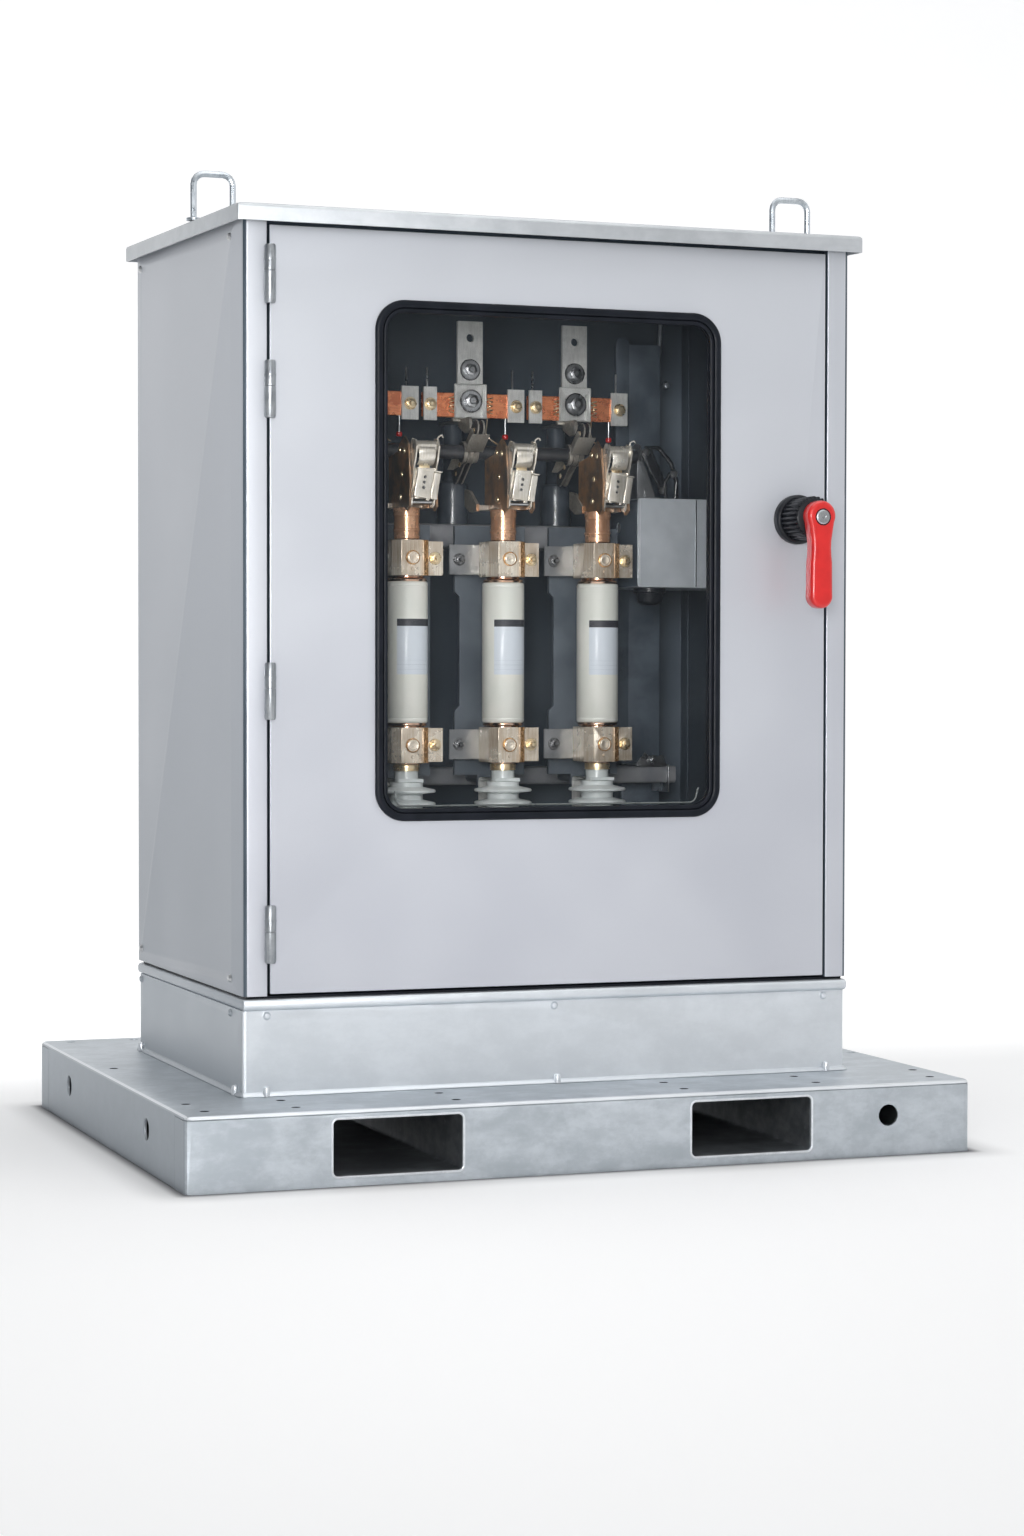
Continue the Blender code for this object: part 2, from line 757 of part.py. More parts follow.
def plinth_cap_frame():
    outer_w = PLINTH_W + 2 * CAP_OVERHANG_X
    outer_d = PLINTH_D + 2 * CAP_OVERHANG_Y
    outlines = [centered((0.0, 0.0), outer_w, outer_d, 0.006, 2),
                centered((0.0, 0.0), outer_w - 2 * CAP_FLANGE, outer_d - 2 * CAP_FLANGE)]
    shape = plate("xy", outlines, PLINTH_TOP_Z + FIT, CAP_TOP_Z)

    def outer_rim(first, second):
        level = abs(first.z - second.z) < 0.0001
        reach_x, reach_y = outer_w / 2 - 0.0065, outer_d / 2 - 0.0065
        return level and all(abs(p.x) > reach_x or abs(p.y) > reach_y for p in (first, second))

    finish("plinth_cap_frame", softened(shape, 0.005, outer_rim), GALVANISED)


def plinth_seal():
    """The flat rubber strip between the plinth cap and the cabinet."""
    outlines = [centered((0.0, 0.0), CABINET_W - 0.012, CABINET_D - 0.012),
                centered((0.0, 0.0), CABINET_W - 0.060, CABINET_D - 0.060)]
    finish("plinth_seal", plate("xy", outlines, CAP_TOP_Z + FIT, CABINET_Z - FIT), RUBBER)


def dome_screw(axis, seat, direction):
    """A low domed screw head standing on its seat."""
    radius = SCREW_HEAD_R
    tall = radius * 0.7
    place = list(seat)
    place["xyz".index(axis)] += direction * (tall / 2 - SEAT)
    ends = (radius, radius * 0.6) if direction > 0 else (radius * 0.6, radius)
    return rod(axis, place, ends[0], tall, 8, top_radius=ends[1])


# Cabinet shell

def side_screws():
    """Domed screws near the corners of the left side."""
    screws = []
    for y in (-0.246, 0.2915):
        for z in (CABINET_Z + 0.021, roof_z(y) - ROOF_SKIRT - 0.016):
            screws.append(dome_screw("x", (-CABINET_HALF_W, y, z), -1))
    return screws


def cabinet_side_panels():
    """Each side is one folded sheet: the wall and the front stile."""
    stile = -CABINET_HALF_W + STILE_W
    plan = [(-CABINET_HALF_W, CABINET_HALF_D), (-CABINET_HALF_W, FRONT_Y), (stile, FRONT_Y),
            (stile, FRONT_Y + STILE_RETURN)]
    left = plate("xy", [folded(plan, SHEET_T, [0.0, CORNER_R, 0.003, 0.0], 3)], CABINET_Z, CABINET_Z + 1.0)
    left = weld(raised_to_roof(left, ROOF_T + FIT), *side_screws())
    finish("cabinet_right_panel", mirrored(left), SHEET)
    finish("cabinet_left_panel", weld(left, *frame_knuckles()), SHEET)


def door_frame():
    """A ring behind the doorway: its flat lip takes the door's seal, its inner edge is turned back."""
    half = CABINET_HALF_W - SHEET_T - FIT
    low, high = CABINET_Z, roof_z(LIP_Y) - ROOF_T - FIT
    outer = rectangle((-half, low), (half, high))
    inner_x = CABINET_HALF_W - STILE_W - SEAL_LIP
    inner_low, inner_high = low + SEAL_LIP, DOOR_TOP_Z - SEAL_LIP
    opening = rectangle((-inner_x, inner_low), (inner_x, inner_high))
    around = rectangle((-inner_x - SHEET_T, inner_low - SHEET_T), (inner_x + SHEET_T, inner_high + SHEET_T))
    lip = plate("xz", [outer, opening], LIP_Y, LIP_Y + SHEET_T)
    turned_back = plate("xz", [around, opening], LIP_Y + SHEET_T - SEAT, LIP_Y + STILE_RETURN)
    finish("door_frame", weld(lip, turned_back), SHEET)


def cabinet_back_panel():
    inside = CABINET_HALF_W - SHEET_T - FIT
    inner_y = CABINET_HALF_D - STILE_DEPTH
    plan = [(inside, inner_y), (inside, CABINET_HALF_D), (-inside, CABINET_HALF_D), (-inside, inner_y)]
    shape = plate("xy", [folded(plan, SHEET_T, 0.003)], CABINET_Z, CABINET_Z + 1.0)
    finish("cabinet_back_panel", raised_to_roof(shape, ROOF_T + FIT), SHEET)


def cabinet_floor():
    half_w = CABINET_HALF_W - SHEET_T - FIT
    back = CABINET_HALF_D - SHEET_T - FIT
    outline = rectangle((-half_w + 0.003, LIP_Y + SHEET_T + FIT), (half_w - 0.003, back))
    notch = STILE_DEPTH + FIT
    shape = plate("xy", [outline, cable_outline()], CABINET_Z, FLOOR_TOP_Z)
    corners = [box((side * half_w - 0.006, CABINET_HALF_D - notch, CABINET_Z - 0.01),
                   (side * half_w + 0.006, CABINET_HALF_D, FLOOR_TOP_Z + 0.01)) for side in (-1, 1)]
    finish("cabinet_floor", cut(shape, *corners), DARK_SHEET)


def gland_plate():
    """The removable plate over the cable hole."""
    grow = 0.020
    low_z = FLOOR_TOP_Z + FIT
    finish("gland_plate", box((CABLE_MID_X - CABLE_W / 2 - grow, -CABLE_D / 2 - grow, low_z),
                              (CABLE_MID_X + CABLE_W / 2 + grow, CABLE_D / 2 + grow, low_z + 0.003)), ZINC)


def roof():
    low = (-ROOF_W / 2, ROOF_FRONT_Y, ROOF_TOP_Z - ROOF_SKIRT)
    high = (ROOF_W / 2, ROOF_FRONT_Y + ROOF_D, ROOF_TOP_Z)
    shape = tray(low, high, "-z", ROOF_T, 0.005)
    rise = math.tan(ROOF_SLOPE)
    for vertex in shape.data.vertices:
        vertex.co.z += rise * (vertex.co.y - ROOF_FRONT_Y)
    finish("roof", shape, GALVANISED)


def lifting_eye(name, place):
    """A bent rod on two washers."""
    x, y = place
    seat = roof_z(y) + 0.001
    bend = 0.016
    half = EYE_SPAN / 2
    washer_t = 0.002
    top = seat + EYE_H - EYE_ROD_R
    foot = seat + washer_t
    left = arc((x - half + bend, top - bend), bend, 180.0, 90.0, 4)
    right = arc((x + half - bend, top - bend), bend, 90.0, 0.0, 4)
    route = [(x - half, foot)] + left + right + [(x + half, foot)]
    shape = bent_rod([(px, y, pz) for px, pz in route], EYE_ROD_R, 2)
    feet = [rod("z", (x + side * half, y, seat + washer_t), 0.011, 2 * washer_t, 14) for side in (-1, 1)]
    finish(name, weld(shape, *feet), ZINC)


# Door

def gasket_outline(inset):
    return centered((WINDOW_MID_X, WINDOW_MID_Z), GASKET_W - 2 * inset, GASKET_H - 2 * inset,
                    GASKET_R - inset, 4)



def door_panel():
    """The folded door with its window opening and its hinge knuckles."""
    low = (DOOR_LEFT_EDGE, FRONT_Y, DOOR_BOTTOM_Z)
    high = (DOOR_RIGHT_EDGE, FRONT_Y + DOOR_DEPTH, DOOR_TOP_Z)
    pan = tray(low, high, "+y", DOOR_T, 0.002)
    window = plate("xz", [gasket_outline(CUTOUT_INSET)], FRONT_Y - 0.02, FRONT_Y + 0.02)
    bore = rod("y", (HANDLE_X, FRONT_Y, HANDLE_Z), SHAFT_R + 0.004, 0.04, 16)
    finish("door_panel", weld(cut(pan, window, bore), *door_knuckles()), SHEET, DOOR_PIVOT)


def window_gasket():
    """A rubber ring with an outer groove for the door sheet and an inner one for the glass."""
    back = FRONT_Y + GLASS_T + 0.004
    front_lip = plate("xz", [gasket_outline(0.0), gasket_outline(GASKET_BAND)],
                      FRONT_Y - GASKET_PROUD, FRONT_Y - FIT)

    def front_edges(first, second):
        return max(first.y, second.y) < FRONT_Y - GASKET_PROUD + 0.0001

    front_lip = softened(front_lip, 0.003, front_edges, 1)
    web = plate("xz", [gasket_outline(CUTOUT_INSET + FIT), gasket_outline(GLASS_INSET - FIT)],
                FRONT_Y - 0.001, back - 0.001)
    outer_lip = plate("xz", [gasket_outline(0.001), gasket_outline(CUTOUT_INSET + 0.002)],
                      FRONT_Y + DOOR_T + FIT, back - 0.0005)
    inner_lip = plate("xz", [gasket_outline(CUTOUT_INSET + 0.001), gasket_outline(GASKET_BAND)],
                      FRONT_Y + GLASS_T + 2 * FIT, back)
    finish("window_gasket", weld(front_lip, web, outer_lip, inner_lip), RUBBER, DOOR_PIVOT)


def window_glass():
    pane = plate("xz", [gasket_outline(GLASS_INSET)], FRONT_Y + FIT, FRONT_Y + GLASS_T + FIT)
    finish("window_glass", pane, GLASS, DOOR_PIVOT)


def door_seal():
    """The rubber ring between the door's folded edge and the frame's lips."""
    middle = ((DOOR_LEFT_EDGE + DOOR_RIGHT_EDGE) / 2, (DOOR_BOTTOM_Z + DOOR_TOP_Z) / 2)
    width = DOOR_RIGHT_EDGE - DOOR_LEFT_EDGE
    height = DOOR_TOP_Z - DOOR_BOTTOM_Z
    outlines = [centered(middle, width - 0.008, height - 0.008),
                centered(middle, width - 0.028, height - 0.028)]
    finish("door_seal", plate("xz", outlines, FRONT_Y + DOOR_DEPTH + FIT, LIP_Y - FIT), RUBBER)


def hinge_splits():
    """Bottom, split and top of each lift-off hinge."""
    return [(low, high - HINGE_SPLIT * (high - low), high) for low, high in HINGE_SPANS]


def frame_knuckles():
    """The upper knuckles with their pins, on roots that reach into the left stile."""
    shapes = []
    for low, split, high in hinge_splits():
        shapes.append(rod("z", (HINGE_X, HINGE_Y, (split + high) / 2), HINGE_R, high - split, 12))
        pin_low = low + HINGE_PIN_R
        shapes.append(rod("z", (HINGE_X, HINGE_Y, (pin_low + split + SEAT) / 2), HINGE_PIN_R,
                          split + SEAT - pin_low, 8))
        shapes.append(box((HINGE_X - 0.0062, HINGE_Y, split + 0.002),
                          (HINGE_X - 0.0025, FRONT_Y + 0.0015, high - 0.002)))
    return shapes


def door_knuckles():
    """The lower knuckles, bored for the pins, on feet that reach into the door's sheet."""
    shapes = []
    for low, split, _ in hinge_splits():
        top = split - FIT
        bore = HINGE_PIN_R + FIT
        ring = [(bore, top), (HINGE_R, top), (HINGE_R, low), (bore, low), (bore, top)]
        shapes.append(turned(ring, (HINGE_X, HINGE_Y, 0.0), "z", 12))
        shapes.append(box((HINGE_X + 0.0048, HINGE_Y + 0.003, low + 0.002),
                          (HINGE_X + 0.0066, FRONT_Y + 0.001, top - 0.002)))
    return shapes


# Handle

def handle_boss():
    top = FRONT_Y - FIT
    bore = SHAFT_R + 0.001
    ring = [(bore, top), (BOSS_R, top), (BOSS_R, top - BOSS_H + 0.003), (BOSS_R - 0.003, top - BOSS_H),
            (bore, top - BOSS_H), (bore, top)]
    finish("handle_boss", turned(ring, (HANDLE_X, 0.0, HANDLE_Z), "y", 28), BLACK, DOOR_PIVOT)


def handle_knob():
    """The ribbed turning collar behind the lever."""
    back = FRONT_Y - FIT - BOSS_H - FIT
    ribs = []
    for rib in range(KNOB_RIBS):
        start = 360.0 * rib / KNOB_RIBS
        pitch = 360.0 / KNOB_RIBS
        for share, radius in ((0.0, KNOB_R), (0.5, KNOB_R), (0.62, KNOB_R - 0.003), (0.88, KNOB_R - 0.003)):
            ribs += arc((HANDLE_X, HANDLE_Z), radius, start + share * pitch, start + share * pitch, 1)[:1]
    bore = circle((HANDLE_X, HANDLE_Z), SHAFT_R + FIT, 12)
    finish("handle_knob", plate("xz", [ribs, bore], back - KNOB_H, back), BLACK, HANDLE_PIVOT)


def handle_lever():
    """The red lever hanging from its hub, waisted below the hub and round at its end."""
    back = FRONT_Y - BOSS_H - KNOB_H - 3 * FIT
    grip = LEVER_GRIP_W / 2
    waist = grip - 0.0025
    end = LEVER_DROP - grip
    half = arc((0.0, 0.002), LEVER_HUB_R, 90.0, -25.0, 6)
    half += [(waist + 0.001, -0.034), (waist, -0.048), (grip, -0.075)]
    half += arc((0.0, -end), grip, 0.0, -90.0, 5)
    outline = half + [(-x, z) for x, z in half[::-1]][1:-1]
    outline = [(HANDLE_X + x, HANDLE_Z + z) for x, z in outline[::-1]]
    shape = plate("xz", [outline], back - LEVER_T, back)
    shape = softened(shape, 0.005, lambda a, b: abs(a.y - b.y) < 0.0001, 2)
    bore = rod("y", (HANDLE_X, back - LEVER_T / 2, HANDLE_Z), SHAFT_R + FIT, LEVER_T + 0.02, 12)
    finish("handle_lever", cut(shape, bore), RED, HANDLE_PIVOT)


def handle_shaft():
    """The steel shaft through the door, with the hub screw on its outer end."""
    front = FRONT_Y - BOSS_H - KNOB_H - LEVER_T - 3 * FIT
    tip = FRONT_Y + DOOR_DEPTH + 0.021
    end = front - FIT - SEAT
    bar = rod("y", (HANDLE_X, (end + tip) / 2, HANDLE_Z), SHAFT_R, tip - end, 12)
    rim = rod("y", (HANDLE_X, front - FIT - HUB_SCREW_T / 2, HANDLE_Z), HUB_SCREW_R, HUB_SCREW_T, 16)
    socket = rod("y", (HANDLE_X, front - FIT - HUB_SCREW_T, HANDLE_Z), HUB_SCREW_R * 0.42, HUB_SCREW_T, 6)
    finish("handle_shaft", cut(weld(bar, rim), socket), ZINC, HANDLE_PIVOT)


# Steel frame behind the phases

def upright(name, x):
    """A channel standing on the cabinet floor, its web to the front."""
    half = UPRIGHT_W / 2
    back = UPRIGHT_Y + UPRIGHT_D
    plan = [(x - half, back), (x - half, UPRIGHT_Y), (x + half, UPRIGHT_Y), (x + half, back)]
    low = FLOOR_TOP_Z + FIT
    post = plate("xy", [folded(plan, RAIL_SHEET_T, 0.006)], low, UPRIGHT_TOP_Z)
    foot = box((x - half - 0.012, UPRIGHT_Y + 0.001, low), (x + half + 0.012, back + 0.020, low + 0.004))
    finish(name, weld(post, foot), DARK_SHEET)


def rail_reach():
    return UPRIGHT_LEFT_X - UPRIGHT_W / 2, UPRIGHT_RIGHT_X + UPRIGHT_W / 2


def cross_rail(heights):
    """A channel across the uprights, open at the back."""
    low, high = heights
    back = UPRIGHT_Y - FIT
    section = [(back, high), (RAIL_FRONT_Y, high), (RAIL_FRONT_Y, low), (back, low)]
    return plate("yz", [folded(section, RAIL_SHEET_T, 0.005)], *rail_reach())


def insulator_shelf():
    """The folded shelf that the lower post insulators stand on."""
    back = UPRIGHT_Y - FIT
    front = FUSE_Y - 0.060
    low = SHELF_Z - 0.035
    section = [(back, low), (back, SHELF_Z), (front, SHELF_Z), (front, low)]
    finish("insulator_shelf", plate("yz", [folded(section, 0.004, 0.008)], *rail_reach()), DARK_SHEET)


def back_board(index):
    """The insulating board behind a fuse on its standoffs, with the two clips that hold the fuse."""
    x = fuse_x(index)
    low = BOARD_BOTTOM_Z
    half = BOARD_W / 2
    notch = 0.008
    tab = 0.020
    rail_mids = [sum(heights) / 2 for heights in (LOWER_RAIL_Z, UPPER_RAIL_Z)]
    high = rail_mids[1] + STANDOFF_R + 0.002
    tail = rail_mids[0] - STANDOFF_R - 0.002
    left = [(-half, low), (-half, low + 0.100), (-half + notch, low + 0.108),
            (-half + notch, high - 0.110), (-half, high - 0.102), (-half, high)]
    outline = left + [(half, high), (half, low), (tab, low), (tab, tail), (-tab, tail), (-tab, low)]
    board = plate("xz", [[(x + px, pz) for px, pz in outline]], BOARD_Y, BOARD_Y + BOARD_T)
    back = RAIL_FRONT_Y - FIT
    front = BOARD_Y + BOARD_T - SEAT
    shapes = [rod("y", (x, (front + back) / 2, z), STANDOFF_R, back - front, 10) for z in rail_mids]
    for clip_z in (LOWER_CLIP_Z, UPPER_CLIP_Z):
        shapes += clip_shapes(x, clip_z)
    finish("back_board_" + PHASES[index], weld(board, *shapes), BOARD)


# Upper contacts

def contact_faces():
    """Depths of the stacked pieces at the upper contact: copper bar, line bar, clamp plate."""
    copper = (LINE_Y - CONTACT_T / 2, LINE_Y + CONTACT_T / 2)
    line = (copper[0] - FIT - LINE_BAR_T, copper[0] - FIT)
    clamp = (line[0] - FIT - CLAMP_T, line[0] - FIT)
    return copper, line, clamp


def line_bar(index):
    """The tinned bar up to a line terminal, with its hole near the top, its clamp plate and two bolts."""
    line, clamp = contact_faces()[1:]
    x = line_x(index)
    low = CONTACT_Z - CONTACT_H / 2
    outline = rectangle((x - LINE_BAR_W / 2, low), (x + LINE_BAR_W / 2, LINE_BAR_TOP_Z))
    hole = circle((x, LINE_BAR_TOP_Z - 0.026), 0.0065, 12)
    bar = plate("xz", [outline, hole], *line)
    clamp_z = low - 0.002
    clamp_plate = box((x - CLAMP_W / 2, clamp[0], clamp_z), (x + CLAMP_W / 2, line[0] + SEAT, clamp_z + CLAMP_W),
                      0.0012, 1)
    heads = [bolt("y", (x, clamp[0], clamp_z + CLAMP_W / 2), -1, 0.0125, 0.010),
             bolt("y", (x, line[0], clamp_z + CLAMP_W + 0.022), -1, 0.011, 0.009)]
    finish("line_bar_" + PHASES[index], weld(bar, clamp_plate, *heads), TINNED)


def contact_bar(index):
    """The copper bar with its end plates, upright pins and bolts, and the fixed tongue under it."""
    copper, line = contact_faces()[:2]
    x = line_x(index)
    low, high = CONTACT_Z - CONTACT_H / 2, CONTACT_Z + CONTACT_H / 2
    bar = box((x - CONTACT_LEFT, copper[0], low), (x + CONTACT_RIGHT, copper[1], high), 0.001, 1)
    end_front = copper[0] - CLAMP_T
    shapes = []
    for start, end, pin in ((-CONTACT_LEFT, -CONTACT_LEFT + 0.022, -CONTACT_LEFT + 0.006),
                            (CONTACT_RIGHT - 0.028, CONTACT_RIGHT, CONTACT_RIGHT - 0.020)):
        shapes.append(box((x + start + 0.0002, end_front, low - 0.006),
                          (x + end - 0.0002, copper[0] + SEAT, low + 0.046)))
        shapes.append(rod("z", (x + pin, copper[0] - 0.002, low + 0.058), 0.0018, 0.036, 8))
        bolt_x = x + (start + end) / 2
        shapes.append(bolt("y", (bolt_x, end_front, CONTACT_Z), -1, 0.0085, 0.008))
    tongue_x = knife_x(index)
    top = low - 0.002 - FIT
    back = copper[1] - 0.0005
    outline = [(ROTOR_Y - 0.010, top - 0.004), (ROTOR_Y - 0.013, top - 0.022), (ROTOR_Y + 0.012, top - 0.024),
               (back, top - 0.012), (back, low + SEAT), (copper[0] + SEAT, low + SEAT), (copper[0] + SEAT, top),
               (ROTOR_Y - 0.006, top)]
    shapes.append(plate("yz", [outline], tongue_x - TONGUE_T / 2, tongue_x + TONGUE_T / 2))
    shapes.append(box((tongue_x - 0.014, copper[0] + 2 * SEAT, top - 0.004),
                      (tongue_x + 0.014, back - SEAT, low + 2 * SEAT)))
    finish("contact_bar_" + PHASES[index], weld(bar, *shapes), COPPER)


def upper_rail():
    """The upper cross rail with the three dark posts on it and their angles behind the contact bars."""
    low = UPPER_RAIL_Z[1] - SEAT
    shoulder = low + 0.064
    top = bracket_z() + SEAT
    profile = [(0.0, top), (0.0140, top), (0.0155, shoulder + 0.005), (0.0225, shoulder),
               (0.0235, shoulder - 0.012), (0.0250, low + 0.008), (0.0250, low), (0.0, low)]
    front = contact_faces()[0][1] + FIT
    shapes = []
    for index in range(3):
        x = line_x(index)
        shapes.append(turned(profile, (x, POST_Y, 0.0), "z", 12))
        section = [(front, CONTACT_Z + CONTACT_H / 2 - 0.002), (front, bracket_z()),
                   (POST_Y + 0.018, bracket_z())]
        shapes.append(plate("yz", [folded(section, 0.004, 0.005)], x - 0.018, x + 0.018))
    finish("upper_rail", weld(cross_rail(UPPER_RAIL_Z), *shapes), DARK_SHEET)


def bracket_z():
    """Underside of the bracket on top of each dark post."""
    return CONTACT_Z - CONTACT_H / 2 - 0.0065


def knife_x(index):
    return line_x(index) + KNIFE_SHIFT


# Knife switch

def knife_shapes(index):
    """A pair of blades on their hub, drawn closed and then swung open about the rotor's axis."""
    inner = TONGUE_T / 2 + TONGUE_CLEAR
    outer = inner + BLADE_T
    end = BLADE_REACH - BLADE_W / 2
    half = BLADE_W / 2
    side_angle = math.degrees(math.acos(half / BLADE_HUB_R))
    x, y, z = knife_x(index), ROTOR_Y, ROTOR_Z
    outline = arc((y, z + end), half, 0.0, 180.0, 5)
    outline += arc((y, z), BLADE_HUB_R, 180.0 - side_angle, 180.0 + side_angle, 4)
    outline += arc((y, z - end), half, 180.0, 360.0, 5)
    outline += arc((y, z), BLADE_HUB_R, -side_angle, side_angle, 4)
    shapes = [plate("yz", [outline], x + low, x + high) for low, high in ((-outer, -inner), (inner, outer))]
    shapes.append(rod("x", (x, y, z), 0.0165, 2 * outer + 0.012, 16))
    return [spun(shape, (x, y, z), "x", OPEN_ANGLE) for shape in shapes]


def eye_plate(x_low, x_high, first, second, first_r, second_r, bores):
    """A flat lever in the YZ plane with a round eye at each end."""
    start, end = Vector(first), Vector(second)
    facing = math.degrees(math.atan2(end.y - start.y, end.x - start.x))
    lean = math.degrees(math.asin((first_r - second_r) / (end - start).length))
    outline = arc(first, first_r, facing + 90.0 - lean, facing + 270.0 + lean, 7)
    outline += arc(second, second_r, facing - 90.0 + lean, facing + 90.0 - lean, 6)
    return plate("yz", [outline] + bores, x_low, x_high)


def crank_pin(axis_z):
    """Place of the crank's or the rotor arm's pin at rest."""
    angle = OPEN_ANGLE / 2
    return ROTOR_Y + CRANK_R * math.cos(angle), axis_z + CRANK_R * math.sin(angle)


def rotor():
    """The insulating rod that turns the three knives, with its drive arm at the right."""
    arm_x = (LINK_X - 0.0045, LINK_X - 0.0005)
    axis = (ROTOR_Y, ROTOR_Z)
    shaft = rod("x", ((ROTOR_END_LEFT + ROTOR_END_RIGHT) / 2, *axis), ROTOR_R,
                ROTOR_END_RIGHT - ROTOR_END_LEFT, 14)
    pin = crank_pin(ROTOR_Z)
    arm = eye_plate(*arm_x, axis, pin, 0.017, 0.0075, [])
    stub = rod("x", ((arm_x[1] + CRANK_X) / 2 - 0.0005, *pin), PIN_R, CRANK_X - arm_x[1], 10)
    knives = [shape for index in range(3) for shape in knife_shapes(index)]
    finish("rotor", weld(shaft, arm, stub, *knives), ROTOR_ROD, (0.0, ROTOR_Y, ROTOR_Z))


def rotor_bearings():
    """Bearing plates at both ends of the rotor: one on the upper rail, one on the mechanism box."""
    eye = (ROTOR_Y, ROTOR_Z)
    bore = circle(eye, ROTOR_R + FIT, 14)
    rail_top = UPPER_RAIL_Z[1] + FIT
    left_x = ROTOR_END_LEFT + 0.006
    arm = [(RAIL_FRONT_Y + 0.004, rail_top), (RAIL_FRONT_Y + 0.060, rail_top),
           (RAIL_FRONT_Y + 0.060, rail_top + 0.020)]
    arm += arc(eye, 0.021, 60.0, 240.0, 8)
    left_foot = box((left_x + 0.002, RAIL_FRONT_Y + 0.006, rail_top),
                    (left_x + 0.026, RAIL_FRONT_Y + 0.059, rail_top + 0.004))
    finish("rotor_bearing_left", weld(plate("yz", [arm, bore], left_x, left_x + 0.004), left_foot), ZINC)
    box_top = BOX_Z[1] + FIT
    right_x = ROTOR_END_RIGHT - 0.008
    stand = [(ROTOR_Y - 0.040, box_top), (ROTOR_Y + 0.045, box_top)] + arc(eye, 0.021, 20.0, 160.0, 8)
    right_foot = box((right_x + 0.002, ROTOR_Y - 0.038, box_top),
                     (right_x + 0.026, ROTOR_Y + 0.043, box_top + 0.004))
    right_plate = plate("yz", [stand, bore], right_x, right_x + 0.004)
    finish("rotor_bearing_right", weld(right_plate, right_foot), ZINC)


# Latched heads above the fuses

def latch_x(index):
    return fuse_x(index) + LATCH_SHIFT


def latch_head(index):
    """The head on a fuse's copper tube: side plates, latch pin and the lower fixed contact."""
    low = HEAD_TUBE_TOP_Z
    tube_low = UPPER_CLIP_Z + CLIP_H + 0.001 + FIT
    tube = rod("z", (fuse_x(index), FUSE_Y, (tube_low + low + 0.001) / 2), HEAD_TUBE_R,
               low + 0.001 - tube_low, 16)
    left_x = latch_x(index) - LATCH_HALF_W - 0.004
    right_x = latch_x(index) + LATCH_HALF_W + 0.001
    block = box((left_x + SEAT, FUSE_Y - 0.018, low), (right_x + 0.003 - SEAT, FUSE_Y + 0.020, low + 0.008))
    edge = low + 0.0007
    y, z = LATCH_Y, LATCH_Z
    side = [(y + 0.014, edge), (y, low - 0.006), (y - 0.012, edge), (y - 0.014, low + 0.040),
            (y - 0.006, low + 0.095), (y + 0.012, low + 0.108), (y + 0.034, low + 0.098),
            (y + 0.046, low + 0.086), (ROTOR_Y - 0.022, low + 0.080), (ROTOR_Y - 0.022, edge)]
    left = plate("yz", [side], left_x, left_x + 0.003)
    ear = [(y - 0.012, edge), (y, low - 0.006), (y + 0.012, edge), (FUSE_Y + 0.017, edge),
           (FUSE_Y + 0.017, low + 0.010), (y + 0.012, low + 0.022), (y - 0.010, low + 0.018)]
    right = plate("yz", [ear], right_x, right_x + 0.003)
    pin = rod("x", ((left_x + right_x + 0.003) / 2, y, z), PIN_R, right_x - left_x + 0.001, 10)
    tongue_x = knife_x(index)
    tongue = [(ROTOR_Y - 0.043, low - 0.001), (ROTOR_Y - 0.012, low - 0.001), (ROTOR_Y + 0.012, low + 0.010),
              (ROTOR_Y + 0.012, low + 0.036), (ROTOR_Y - 0.010, low + 0.032), (ROTOR_Y - 0.043, low + 0.010)]
    blade = plate("yz", [tongue], tongue_x - TONGUE_T / 2, tongue_x + TONGUE_T / 2)
    ends = sorted((tongue_x, left_x + 0.0015))
    bridge = box((ends[0], ROTOR_Y - 0.040, low + 0.001), (ends[1], ROTOR_Y - 0.024, low + 0.009))
    finish("latch_head_" + PHASES[index], weld(block, left, right, pin, bridge, blade, tube), BRONZE)


def latch(index):
    """A hinged latch: two cheeks hooked at the top, a roller between them, a slotted finger box."""
    x = latch_x(index)
    y, z = LATCH_Y, LATCH_Z
    half = LATCH_HALF_W
    cheek = arc((y, z), 0.0095, 180.0, 330.0, 5)
    cheek += [(y + 0.009, z + 0.030), (y + 0.000, z + 0.052), (y - 0.006, z + 0.070), (y - 0.004, z + 0.086)]
    cheek += [(y - 0.012, z + 0.095), (y - 0.028, z + 0.092), (y - 0.034, z + 0.082), (y - 0.026, z + 0.060)]
    cheek += [(y - 0.020, z + 0.052), (y - 0.017, z + 0.030)]
    bore = circle((y, z), PIN_R + FIT, 10)
    sides = [plate("yz", [cheek, bore], x + low, x + low + 0.0025) for low in (-half, half - 0.0025)]
    roller = rod("x", (x, y - 0.019, z + 0.082), 0.0095, 2 * half - 0.002, 14)
    front = [(y - 0.0165, z + 0.004), (y - 0.0215, z + 0.050)]
    slots = [rectangle((x + side * 0.009 - 0.0022, z + 0.012), (x + side * 0.009 + 0.0022, z + 0.044))
             for side in (-1, 1)]
    face = plate("xz", [rectangle((x - half + 0.001, front[0][1]), (x + half - 0.001, front[1][1]))] + slots,
                 y - 0.0165, y - 0.0140)
    strap = box((x - half + 0.001, y - 0.0165, z + 0.040), (x + half - 0.001, y + 0.002, z + 0.043))
    shape = weld(sides[0], roller, face, strap, sides[1])
    finish("latch_" + PHASES[index], shape, CHROME, (x, y, z))


# Fuse stacks

